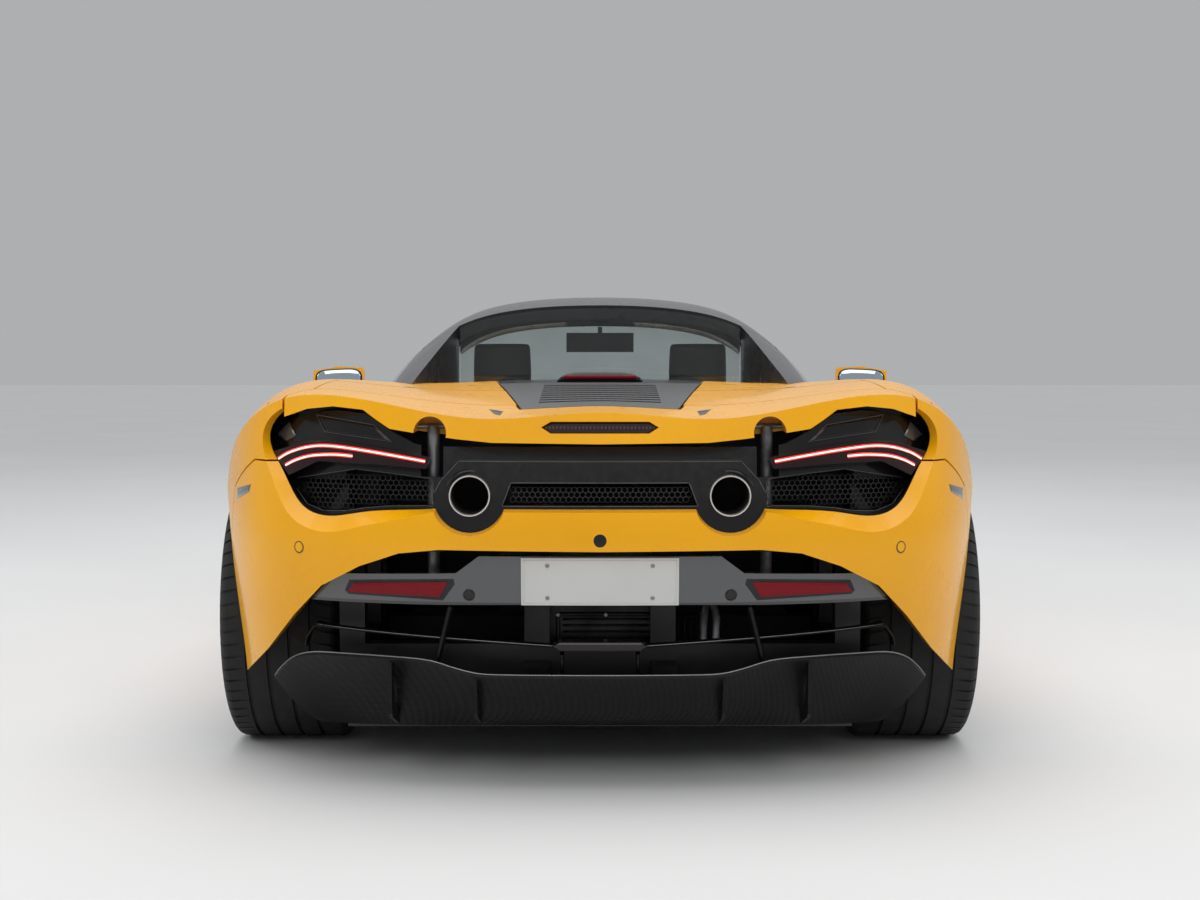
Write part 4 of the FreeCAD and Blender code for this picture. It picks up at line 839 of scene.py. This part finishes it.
EMITTER_PITCH, EMITTER_SHARE, EMITTER_Z, EMITTER_HALF = 0.0085, 0.28, 0.8535, 0.0035
lens_dark = Finish("dark_lens", Coat_Weight=0.3, Coat_Roughness=0.05, Specular_IOR_Level=0.25)
x, y, z = lens_dark.axes()
emitters = abs(((x / EMITTER_PITCH) % 1) - 0.5) < EMITTER_SHARE
emitters = emitters * (abs(z - EMITTER_Z) < EMITTER_HALF)
lens_dark.feed(
    Base_Color=lens_dark.blend(emitters, (0.01, 0.006, 0.007), (0.075, 0.03, 0.032)),
    Roughness=lens_dark.drift(50.0, 0.12, 0.2),
    Normal=lens_dark.bump(emitters, 0.0006, 0.5),
)
FOG_HALF, FOG_Z, FOG_HIGH, FOG_DEEP = 0.1075, 0.3465, 0.0112, 0.024
FOG_SECTION = [
    # shares of the depth and the height, round the section
    (-1.0, -0.5), (-1.0, 0.5), (-0.92, 0.86), (-0.75, 1.0), (0.9, 1.0), (1.0, 0.85),
    (1.0, -0.85), (0.9, -1.0), (-0.75, -1.0), (-0.92, -0.86),
]
form = bmesh.new()
rings = []
for k in range(33):
    share = k / 16 - 1
    x = FOG_HALF * share
    ease = 0.22 + 0.78 * min(1.0, (1 - abs(share)) / 0.13)
    deep, high = FOG_DEEP * (0.6 + 0.4 * ease), FOG_HIGH * ease
    centre = Vector((x, low_skin(x, FOG_Z) + 0.049, FOG_Z))
    rings.append([
        form.verts.new(centre + Vector((0, dy * deep, dz * high))) for dy, dz in FOG_SECTION])
add_rings(form, rings)
fog_lens = make_piece(form, "fog_lamp_lens", lens_dark, "body")
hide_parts("fog_lamp")

# Reflectors: moulded red ones in the plate panel, grey ones round each rear corner. Each is a thin
# slab bonded on, and follows what it lies on.
PRISM = 0.004


def prismatic(name, axis, dark, light, coat):
    finish = Finish(name, Coat_Weight=coat, Coat_Roughness=0.05, Specular_IOR_Level=coat)
    axes = finish.axes()
    prisms = abs(((axes[axis] / PRISM) % 1) - 0.5) + abs(((axes[2] / PRISM) % 1) - 0.5)
    finish.feed(
        Base_Color=finish.blend(prisms, dark, light),
        Roughness=finish.range(prisms, 0, 1, 0.18, 0.3),
        Normal=finish.bump(prisms, 0.0004, 0.4),
    )
    return finish


reflector_red = prismatic("reflector_red", 0, (0.12, 0.003, 0.008), (0.24, 0.006, 0.014), 0.12)
reflector_grey = prismatic("reflector_grey", 1, (0.035, 0.036, 0.04), (0.075, 0.076, 0.082), 0.8)

RECESS_CORNERS = [(349.5, 579.5), (459.0, 578.8), (443.0, 600.5), (343.5, 593.5)]
RED_CORNERS = [(355, 582.5), (448, 581.7), (440, 596.5), (348, 591.5)]
GREY_CORNERS = [(237.3, 488.0), (251.0, 484.0), (249.0, 492.0), (237.3, 499.0)]
for name, node, corners, finish, thick, slot in (
        ("rear_reflector_beds", "plate_panel", RECESS_CORNERS, mesh_black, 0.0012, "gloss_black"),
        ("rear_reflectors", "plate_panel", RED_CORNERS, reflector_red, 0.005, "lamp_red"),
        ("side_reflectors", "rear_bumper", GREY_CORNERS, reflector_grey, 0.0016, "gloss_black")):
    make_piece(slabs_seen(node, corners, 20, 4, thick), name, finish, "body")

# Gearbox, seen through the gap over the diffuser: a ribbed cast cover held by a ring of bolts, a
# finned sump beside it, and two bright pipes that loop out of its side.
GEARBOX_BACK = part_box("engine_block")[0].y
COVER_X, COVER_Z, COVER_EDGE = (-0.102, 0.13), (0.243, 0.388), 0.012
SUMP_X, SUMP_Z = (0.142, 0.252), (0.25, 0.38)
RIB_BAR, FIN_BAR, FLANGE_BAR = (0.0028, 0.01), (0.003, 0.014), (0.006, 0.007)
PIPE_SHIFTS, PIPE_HALF = (0.0, 0.03), 0.0095


def on_gearbox(x, z):
    return Vector((x, GEARBOX_BACK, z))


form = bmesh.new()
starts = straight(on_gearbox(COVER_X[0] + COVER_EDGE, COVER_Z[0] + COVER_EDGE),
                  on_gearbox(COVER_X[0] + COVER_EDGE, COVER_Z[1] - COVER_EDGE), 8)
for start in starts:
    add_bar(form, straight(start, on_gearbox(COVER_X[1] - COVER_EDGE, start.z), 8), *RIB_BAR)
for start in straight(on_gearbox(SUMP_X[0], SUMP_Z[0]), on_gearbox(SUMP_X[1], SUMP_Z[0]), 7):
    add_bar(form, straight(start, on_gearbox(start.x, SUMP_Z[1]), 8), *FIN_BAR)
corners = [on_gearbox(COVER_X[i], COVER_Z[j]) for i, j in ((0, 0), (1, 0), (1, 1), (0, 1))]
flange = []
for start, end in zip(corners, corners[1:] + corners[:1]):
    flange += straight(start, end, 8)[:-1]
add_bar(form, flange, *FLANGE_BAR, 10, True)
make_piece(form, "gearbox_cover_ribs", casting, "body", True)
BOLT = [(0, 0.0062), (0.006, 0.006), (0.0075, 0.0045)]
form = bmesh.new()
for spot in flange[::4]:
    add_lathe(form, spot + Vector((0, -0.005, 0)), (0, -1, 0), BOLT, 6)
make_piece(form, "gearbox_cover_bolts", steel, "body")
form = bmesh.new()
for shift in PIPE_SHIFTS:
    loop = [(0.258 + shift / 2, 0.0, 0.412), (0.25 + shift, -0.04, 0.385),
            (0.248 + shift, -0.052, 0.33), (0.254 + shift, -0.046, 0.28),
            (0.266 + shift / 3, 0.0, 0.248)]
    line = even_line([(x, GEARBOX_BACK + y, z) for x, y, z in loop], 40)
    add_bar(form, line, PIPE_HALF, PIPE_HALF, 16)
make_piece(form, "gearbox_pipes", alloy, "body", True)

# Parking sensors and the rear camera: small round caps let into the bumper and the plate panel,
# the sensors each in a thin ring.
SENSOR = 0.0115
SENSOR_CAP = [(-0.002, SENSOR), (0.0008, SENSOR), (0.0014, SENSOR * 0.86), (0.0014, SENSOR * 0.3)]
SENSOR_RING = [
    (-0.002, SENSOR + 0.0004), (-0.002, SENSOR + 0.0026), (0.0005, SENSOR + 0.0026),
    (0.0005, SENSOR + 0.0004),
]
EYE_COLUMN, EYE_ROW, EYE_REACH = 600, 541, 6.6
EYE = [
    (-0.006, 0.015), (-0.00002, 0.015), (0.00004, 0.014), (0.00004, 0.0072),
    (0.00006, 0.0064), (0.00006, 0.001),
]
yellow_caps, black_caps, cap_rings = bmesh.new(), bmesh.new(), bmesh.new()
for node, column, row, caps in (
        ("rear_bumper", 299, 547, yellow_caps), ("plate_panel", 469, 595, black_caps)):
    for hand in (1, -1):
        point, normal = seen_at(node, column, row, hand)
        add_lathe(caps, point, normal, SENSOR_CAP, 32)
        add_lathe(cap_rings, point, normal, SENSOR_RING, 32, True)
turns = [2 * math.pi * k / 12 for k in range(12)]
around = [seen_at("rear_bumper", EYE_COLUMN + EYE_REACH * math.cos(a),
                  EYE_ROW + EYE_REACH * math.sin(a)) for a in turns]
normal = sum((n for _, n in around), Vector()).normalized()
point = seen_at("rear_bumper", EYE_COLUMN, EYE_ROW)[0]
point = point + normal * max(0, *((rim - point).dot(normal) for rim, _ in around))
add_lathe(black_caps, point, normal, EYE, 32)
make_piece(yellow_caps, "sensor_caps", yellow, "body", True)
make_piece(black_caps, "sensor_and_camera_caps", piano, "body", True)
make_piece(cap_rings, "sensor_rings", mesh_black, "body", True)

# Third brake lamp in the wing: a long dark lens in the slot, over a row of small emitters. Two
# small dark covers hide the wing's screws.
SLOT_HALF, SLOT_LOW, SLOT_HIGH, SLOT_POINT = 0.1325, 0.8415, 0.8655, 0.02
LENS_THICK, LENS_BEVEL, COVER_THICK, COVER_BEVEL = 0.0085, 0.002, 0.0012, 0.0005
COVER_CORNERS = [(489, 409.5), (503, 411.5), (500, 415.5), (494, 414.0)]
grid = []
for i in range(5):
    share = i / 4
    z = SLOT_LOW + (SLOT_HIGH - SLOT_LOW) * share
    reach = SLOT_HALF - SLOT_POINT * abs(2 * share - 1)
    hits = [touch("rear_wing", (reach * (j / 20 - 1), -4, z), (0, 1, 0))[0] for j in range(41)]
    grid.append([(hit, Vector((0, -1, 0))) for hit in hits])
form = bmesh.new()
add_slab(form, grid, LENS_THICK, LENS_BEVEL)
make_piece(form, "wing_lamp_lens", lens_dark, "rear_wing")
form = slabs_seen("rear_wing", COVER_CORNERS, 4, 3, COVER_THICK, COVER_BEVEL)
make_piece(form, "wing_screw_covers", piano, "rear_wing")

# High brake lamp on the tonneau cover, below the rear window: a red strip in a low black hood.
HIGH_LAMP_Y, HIGH_LAMP_HALF, HOOD_SHARE, HOOD_LENGTH = -1.262, 0.1, 1.18, 0.075
HOOD_LOW, HOOD_RISE = 0.004, 0.02
STRIP_BAR, STRIP_SHIFT = (0.0055, 0.002), Vector((0, -0.0035, 0.0125))
form = bmesh.new()
hood = []
for j in range(25):
    across = j / 12 - 1
    x = HIGH_LAMP_HALF * HOOD_SHARE * across
    rise = HOOD_LOW + HOOD_RISE * max(0.0, 1 - abs(across) ** 6)
    back, front = (on_top("tonneau_cover", x, y) for y in (HIGH_LAMP_Y, HIGH_LAMP_Y + HOOD_LENGTH))
    hood.append([form.verts.new(base + Vector((0, dy, dz))) for base, dy, dz in (
        (back, -0.004, -0.001), (back, -0.002, rise), (back, 0.012, rise + 0.0012),
        (front, -0.025, 0.45 * rise), (front, 0, -0.001))])
add_rings(form, hood)
make_piece(form, "high_lamp_hood", piano, "tonneau", True)
form = bmesh.new()
line = [on_top("tonneau_cover", HIGH_LAMP_HALF * (j / 20 - 1), HIGH_LAMP_Y) for j in range(41)]
add_bar(form, [base + STRIP_SHIFT for base in line], *STRIP_BAR)
make_piece(form, "high_lamp_strip", reflector_red, "tonneau", True)

# Door mirrors: silvered glass in a black plastic surround, clipped into the back of each painted
# shell.
silver = Finish("mirror_glass", Metallic=1.0)
silver.feed(
    Base_Color=silver.blend(silver.noise(5.0), (0.5, 0.6, 0.68), (0.56, 0.66, 0.73)),
    Roughness=silver.range(silver.noise(9.0, 6.0), 0.5, 0.8, 0.02, 0.07),
)
MIRROR_X, MIRROR_Z, MIRROR_HALF_X, MIRROR_HALF_Z = 0.984, 0.9055, 0.082, 0.036
SURROUND_X, SURROUND_Z, SURROUND_THICK, MIRROR_THICK = 0.006, 0.005, 0.0025, 0.0022
MIRROR_SIDES, MIRROR_TAPER, SHELL_FRONT = 48, 0.1, 0.4


def rounded(value, power):
    return math.copysign(abs(value) ** power, value)


def add_plaque(form, name, centre, half, lift, thick):
    """A rounded slab over the back of a node: its rim eased, its face nearly flat."""
    rings = []
    hand = 1 if centre[0] > 0 else -1
    steps = (1.0, -0.002), (1.0, thick * 0.6), (0.965, thick), (0.5, thick), (0.02, thick)
    for share, rise in steps:
        rings.append([])
        for k in range(MIRROR_SIDES):
            a = 2 * math.pi * k / MIRROR_SIDES
            dx = rounded(math.cos(a), 0.5) * half[0] * share
            dz = rounded(math.sin(a), 0.62) * half[1] * share
            dz *= 1 - MIRROR_TAPER * dx / half[0] * hand
            rings[-1].append(form.verts.new(
                on_back(name, centre[0] + dx, centre[1] + dz, lift + rise, SHELL_FRONT)))
    add_rings(form, rings)


for body, hand in (("door_right", 1), ("door_left", -1)):
    surround, mirror = bmesh.new(), bmesh.new()
    centre = (hand * MIRROR_X, MIRROR_Z)
    outer = (MIRROR_HALF_X + SURROUND_X, MIRROR_HALF_Z + SURROUND_Z)
    add_plaque(surround, body, centre, outer, 0.0, SURROUND_THICK)
    add_plaque(mirror, body, centre, (MIRROR_HALF_X, MIRROR_HALF_Z), SURROUND_THICK, MIRROR_THICK)
    make_piece(surround, f"{body}_mirror_surround", piano, body, True)
    make_piece(mirror, f"{body}_mirror_glass", silver, body, True)

# Front intakes: a moulded liner in dark plastic closes the duct a little way behind each mesh. It
# is clipped to the bumper.
LINER_SETBACK = 0.014
form = bmesh.new()
form.from_mesh(nodes["front_grilles"].data)
bmesh.ops.translate(form, verts=form.verts, vec=(0, -LINER_SETBACK, 0))
make_piece(form, "front_intake_liners", mesh_black, "body")

# Headlamps: under each clear cover, a projector lens in each of three barrels, and a daylight
# strip along the foot of the housing.
BARREL_AXIS, BARREL_FOOT_Z = Vector((0.12, 0.85, 0.5)).normalized(), 0.42
BARRELS = [
    # x and y of the foot, radius
    (0.64, 1.75, 0.0215), (0.712, 1.655, 0.0215), (0.782, 1.57, 0.0165),
]
DAYLIGHT_BAR, DAYLIGHT_SHIFT = (0.0045, 0.005), Vector((0, 0.003, 0.001))
STRIP_START, STRIP_END = (0.635, 0, 0.427), (0.83, 0, 0.423)
lamp_glass = mottled(
    "projector_lens", [(0.3, 0.34, 0.4), (0.4, 0.44, 0.5)], 30.0, (0.05, 0.12), 60.0,
    Metallic=0.85, Coat_Weight=1.0, Coat_Roughness=0.02)
lenses, bezels, strips = bmesh.new(), bmesh.new(), bmesh.new()
for hand in (-1, 1):
    axis = Vector((BARREL_AXIS.x * hand, BARREL_AXIS.y, BARREL_AXIS.z))
    for x, y, radius in BARRELS:
        foot = Vector((x * hand, y, BARREL_FOOT_Z))
        seat = touch("headlamps", foot + axis * 1.2, -axis)[0]
        dome = [(0, radius), (0.0045, radius), (0.0085, radius * 0.86),
                (0.0115, radius * 0.55), (0.0125, radius * 0.2)]
        add_lathe(lenses, seat, axis, dome, 40)
        rim = [(0.004, radius + 0.0002), (0.004, radius - 0.0025),
               (0.0075, radius - 0.0022), (0.0075, radius + 0.0002)]
        add_lathe(bezels, seat, axis, rim, 40, True)
    hits = [touch("headlamps", (hand * p.x, 4, p.z), (0, -1, 0))[0]
            for p in straight(STRIP_START, STRIP_END, 32)]
    add_bar(strips, [hit + DAYLIGHT_SHIFT for hit in hits if hit], *DAYLIGHT_BAR)
daylight = glowing("daylight", (0.8, 0.84, 0.9), 1.1)
make_piece(lenses, "headlamp_projectors", lamp_glass, "body", True)
make_piece(bezels, "headlamp_bezels", alloy, "body", True)
make_piece(strips, "daylight_strips", daylight, "body", True)

# Wipers: two black steel arms with rubber blades, parked along the foot of the windscreen. Each
# turns on a pivot in the cowl.
WIPERS = [
    # x and y of the blade's two ends and of the arm's pivot
    ((-0.46, 0.985), (0.03, 1.035), (-0.05, 1.085)), ((0.02, 0.985), (0.46, 0.965), (0.4, 1.075)),
]
BLADE_LIFT, ARM_RISE = Vector((0, 0, 0.006)), Vector((0, 0, 0.014))
RUBBER_BAR, ARM_BAR = (0.0045, 0.0055), (0.0055, 0.0045)
PIVOT_CAP = [(0, 0.013), (0.01, 0.012), (0.014, 0.008)]
form = bmesh.new()
for start, end, pivot in WIPERS:
    hits = [on_top("windscreen", p.x, p.y) for p in straight((*start, 0), (*end, 0), 24)]
    blade = [hit + BLADE_LIFT for hit in hits if hit]
    add_bar(form, blade, *RUBBER_BAR)
    foot = on_top("cowl_panel", *pivot)
    middle = blade[len(blade) // 2]
    bend = foot.lerp(middle, 0.5) + ARM_RISE
    arm = even_line([foot + Vector((0, 0, 0.004)), bend, middle + BLADE_LIFT], 16)
    add_bar(form, arm, *ARM_BAR)
    add_lathe(form, foot - Vector((0, 0, 0.002)), (0, 0, 1), PIVOT_CAP, 24)
make_piece(form, "wipers", mesh_black, "body", True)

# Seats: two buckets in black leather over foam, each with a cushion, a backrest, side bolsters and
# a headrest. Sewn channels cross the middle panels, and piping runs along the bolsters.
leather = Finish("seat_leather", Specular_IOR_Level=0.35)
pores = leather.node("ShaderNodeTexVoronoi", sockets={"Vector": leather.place(), "Scale": 620.0})
creases = leather.noise(42.0, 5.0)
leather.feed(
    Base_Color=leather.blend(creases, (0.01, 0.01, 0.011), (0.03, 0.029, 0.029)),
    Roughness=leather.range(creases, 0.3, 0.7, 0.42, 0.6),
    Normal=leather.bump(pores, 0.0004, 0.35),
)


def add_pad(form, path, x0, x1, thick, channels=0, steps=64, sides=40):
    """A crowned pad along a path of (y, z): rounded ends, sides that pull in, sewn channels."""
    line = even_line([(0, y, z) for y, z in path], steps)
    middle, half = (x0 + x1) / 2, abs(x1 - x0) / 2
    seams = [c / (channels + 1) for c in range(1, channels + 1)]
    rings = []
    for i, p in enumerate(line):
        share = i / steps
        along = (line[min(i + 1, steps)] - line[max(i - 1, 0)]).normalized()
        up = Vector((1, 0, 0)).cross(along).normalized()
        to_end = min(share, 1 - share)
        close = math.sqrt(max(0.0, 1 - max(0.0, 1 - to_end / 0.1) ** 2))
        groove = max((math.exp(-((share - seam) * steps / 1.1) ** 2) for seam in seams), default=0)
        inset = 1 - 0.05 * (1 - math.sin(math.pi * share)) - 0.012 * groove
        reach = half * inset * (0.86 + 0.14 * close)
        ring = []
        for k in range(sides):
            a = 2 * math.pi * (k + 0.5) / sides
            across, over = rounded(math.cos(a), 0.62), rounded(math.sin(a), 0.72)
            crown = 1 + 0.16 * (1 - across * across) * (0.4 + 0.6 * close)
            height = over * thick / 2 * crown * (0.3 + 0.7 * close) / 1.16
            if abs(across) < 0.97:
                height -= math.copysign(0.0055 * groove, over)
            ring.append(form.verts.new(Vector((middle + across * reach, 0, 0)) + p + up * height))
        rings.append(ring)
    add_rings(form, rings)


THIGH_PATH = [(-0.33, 0.235), (-0.18, 0.262), (-0.02, 0.282), (0.082, 0.3)]
FLANK_PATH = [(-0.345, 0.345), (-0.405, 0.45), (-0.455, 0.62), (-0.48, 0.765)]
SEAT_PIECES = [
    # name, path of (y, z), x from and to, thickness, channels
    ("cushion", [(-0.335, 0.212), (-0.15, 0.222), (0.01, 0.256), (0.1, 0.282)],
     0.152, 0.508, 0.105, 4),
    ("backrest", [(-0.375, 0.3), (-0.42, 0.44), (-0.468, 0.64), (-0.505, 0.81)],
     0.152, 0.508, 0.085, 6),
    ("headrest", [(-0.496, 0.838), (-0.498, 0.9), (-0.5, 0.975), (-0.508, 1.04)],
     0.217, 0.398, 0.078, 1),
    ("thigh_bolster_in", THIGH_PATH, 0.1055, 0.1495, 0.1, 0),
    ("thigh_bolster_out", THIGH_PATH, 0.5105, 0.5545, 0.1, 0),
    ("back_bolster_in", FLANK_PATH, 0.1055, 0.1495, 0.12, 0),
    ("back_bolster_out", FLANK_PATH, 0.5105, 0.5545, 0.12, 0),
]
for side_name, hand in (("right", 1), ("left", -1)):
    for name, path, x0, x1, thick, channels in SEAT_PIECES:
        form = bmesh.new()
        add_pad(form, path, hand * x0, hand * x1, thick, channels)
        seat = make_piece(form, f"seat_{side_name}_{name}", leather, "body", True)
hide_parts("seats")
PIPING_XS, PIPING_HALF = (0.1505, 0.5095), 0.0022
PIPING_PATHS = [
    # y and z along the cushion, then along the backrest
    [(-0.33, 0.262), (-0.15, 0.271), (0.01, 0.303), (0.085, 0.322)],
    [(-0.335, 0.33), (-0.378, 0.45), (-0.425, 0.64), (-0.465, 0.79)],
]
piping = mottled(
    "seat_piping", [(0.55, 0.26, 0.01), (0.64, 0.31, 0.014)], 90.0, (0.5, 0.65), 200.0,
    (900.0, 1.0, 0.0002, 0.4))
form = bmesh.new()
for x in [hand * x for hand in (-1, 1) for x in PIPING_XS]:
    for path in PIPING_PATHS:
        add_bar(form, even_line([(x, y, z) for y, z in path], 40), PIPING_HALF, PIPING_HALF)
make_piece(form, "seat_piping", piping, "body", True)
SEAT_SHELLS = [
    # x from and to, path of (y, z), thickness: behind the backrest, then under the cushion
    (0.135, 0.525, [(-0.395, 0.175), (-0.448, 0.3), (-0.5, 0.52), (-0.548, 0.8)], 0.022),
    (0.14, 0.52, [(-0.39, 0.166), (-0.15, 0.16), (0.095, 0.175)], 0.02),
]
form = bmesh.new()
for hand in (-1, 1):
    for x0, x1, path, thick in SEAT_SHELLS:
        add_pad(form, path, hand * x0, hand * x1, thick, 0, 32, 24)
shell_finish = twilled("seat_shell_twill", *TWILL_GREYS)
make_piece(form, "seat_shells", shell_finish, "body", True)

# Dashboard, console and steering wheel: soft black plastic and leather with a fine grain, over
# moulded cores.
soft_black = mottled(
    "soft_plastic", [(0.012, 0.012, 0.013), (0.024, 0.024, 0.026)], 7.0, (0.48, 0.62), 30.0,
    Specular_IOR_Level=0.35)
grain = soft_black.node(
    "ShaderNodeTexVoronoi", sockets={"Vector": soft_black.place(), "Scale": 480.0})
soft_black.feed(Normal=soft_black.bump(grain, 0.0003, 0.35))
dress(soft_black, "dashboard", "centre_console", "steering_wheel")

# Tyres: moulded rubber with four grooves round the tread, slots across the shoulders and fine
# rings on the sidewalls, which carry no lettering.
rubber = Finish("tyre_rubber", Specular_IOR_Level=0.35)
dirt = rubber.range(rubber.noise(20.0, 6.0), 0.4, 0.75, 0.0, 1.0)
rubber.feed(
    Base_Color=rubber.blend(dirt, (0.009, 0.009, 0.01), (0.026, 0.025, 0.024)),
    Roughness=rubber.range(dirt, 0, 1, 0.6, 0.85),
    Normal=rubber.grain(700.0, 2.0, 0.0002, 0.35),
)
CORNERS = [
    # name, x, y, radius, width, bead radius
    ("fl", -0.825, 1.2065, 0.327, 0.245, 0.245), ("fr", 0.825, 1.2065, 0.327, 0.245, 0.245),
    ("rl", -0.806, -1.4635, 0.3455, 0.305, 0.257), ("rr", 0.806, -1.4635, 0.3455, 0.305, 0.257),
]
TREAD_INSET, GROOVE_DEPTH, SLOT_DEPTH, TREAD_PITCHES = 0.022, 0.0065, 0.0045, 64
GROOVES, GROOVE_HALF, GROOVE_DRAFT = (-0.62, -0.21, 0.21, 0.62), 0.0038, 0.001
SHOULDER_SHARE, SHOULDER_HIGH, SLOT_SLANT = 0.66, 0.0125, 6.0
SLOT_STEPS = [
    # share of a pitch, in a slot
    (0.0, False), (0.8, False), (0.815, True), (0.985, True),
]
for corner, x, y, radius, width, bead in CORNERS:
    w = width / 2
    tread = w - TREAD_INSET
    wall = [
        (w - 0.0205, bead + 0.0008), (w - 0.0135, bead + 0.0125), (w - 0.006, bead + 0.018),
        (w - 0.0022, bead + 0.024), (w - 0.003, bead + 0.0255), (w - 0.0008, bead + 0.034),
        (w, bead + 0.044), (w - 0.001, radius - 0.034), (w - 0.0024, radius - 0.0325),
        (w - 0.003, radius - 0.023), (w - 0.008, radius - 0.012),
        (w - 0.0145, radius - 0.0045), (tread, radius - 0.0012)]
    section = [(-a, r) for a, r in wall]
    for middle in GROOVES:
        m, edge, foot = middle * tread, GROOVE_HALF + GROOVE_DRAFT, radius - GROOVE_DEPTH
        section += [(m - edge, radius), (m - GROOVE_HALF, foot),
                    (m + GROOVE_HALF, foot), (m + edge, radius)]
    section += list(reversed(wall))
    form = bmesh.new()
    rings = []
    for step in range(TREAD_PITCHES):
        for share, cut in SLOT_STEPS:
            ring = []
            for a, r in section:
                shoulder = abs(a) > SHOULDER_SHARE * tread and r > radius - SHOULDER_HIGH
                angle = 2 * math.pi * (step + share + SLOT_SLANT * abs(a)) / TREAD_PITCHES
                reach = r - (SLOT_DEPTH if cut and shoulder else 0)
                ring.append(form.verts.new(
                    (x + a, y + reach * math.cos(angle), radius + reach * math.sin(angle))))
            rings.append(ring)
    add_rings(form, rings, True)
    tyre = make_piece(form, f"tyre_{corner}_tread", rubber, f"wheel_{corner}")
    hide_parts(f"tyre_{corner}")

# Wheels: forged alloy in satin dark grey, held by five bolts. The drilled brake discs turn with
# them.
DISC_RADIUS, DISC_BORE, HOLE_PITCH, HOLES_ROUND, HOLE_SIZE = 0.198, 0.095, 0.017, 60, 0.045


def wheel_finish(name, axle_y, axle_z, disc_reach):
    finish = Finish(name, Metallic=0.6, Coat_Weight=0.3, Coat_Roughness=0.2)
    x, y, z = finish.axes()
    dy, dz = y - axle_y, z - axle_z
    square = dy * dy + dz * dz
    out = square.apply("SQRT", square)
    turn = dz.apply("ARCTAN2", dz, dy)
    disc = (out < DISC_RADIUS) * (abs(x) < disc_reach) * (out > DISC_BORE)
    round_it = ((turn * (HOLES_ROUND / 2 / math.pi) + out * 60) % 1) - 0.5
    along_it = ((out / HOLE_PITCH) % 1) - 0.5
    drilled = (round_it * round_it * 6 + along_it * along_it) < HOLE_SIZE
    worn = finish.blend(drilled, (0.15, 0.15, 0.155), (0.015, 0.015, 0.015))
    paint = finish.blend(finish.noise(8.0), (0.036, 0.038, 0.042), (0.058, 0.06, 0.066))
    finish.feed(
        Base_Color=finish.blend(disc, paint, worn),
        Roughness=finish.drift(50.0, 0.26, 0.4),
        Normal=finish.grain(500.0, 1.0, 0.00004, 0.3),
    )
    return finish


dress(wheel_finish("rim_paint_front", 1.2065, 0.327, 0.884), "wheel_fl", "wheel_fr")
dress(wheel_finish("rim_paint_rear", -1.4635, 0.3455, 0.895), "wheel_rl", "wheel_rr")
BOLT_CIRCLE, FACE_INSET = 0.047, 0.046
BOLT_COLLAR, BOLT_HEIGHT = [(0, 0.0105), (0.01, 0.0105), (0.0125, 0.0095)], 0.0125
BOLT_HEAD = [(0, 0.0084), (0.008, 0.0084), (0.0095, 0.007)]
HUB_CAP = [(-0.012, 0.029), (0.001, 0.029), (0.004, 0.0275), (0.0065, 0.021), (0.007, 0.01)]
for corner, x, y, radius, width, bead in CORNERS:
    outward = Vector((1 if x > 0 else -1, 0, 0))
    face = Vector((x, y, radius)) + outward * (width / 2 - FACE_INSET)
    form = bmesh.new()
    for k in range(5):
        a = math.radians(90 + 72 * k)
        spot = Vector((0, BOLT_CIRCLE * math.cos(a), BOLT_CIRCLE * math.sin(a)))
        foot = face + spot - outward * 0.004
        add_lathe(form, foot, outward, BOLT_COLLAR, 24)
        add_lathe(form, foot + outward * BOLT_HEIGHT, outward, BOLT_HEAD, 6)
    add_lathe(form, face, outward, HUB_CAP, 40)
    make_piece(form, f"wheel_{corner}_bolts", steel, f"wheel_{corner}")
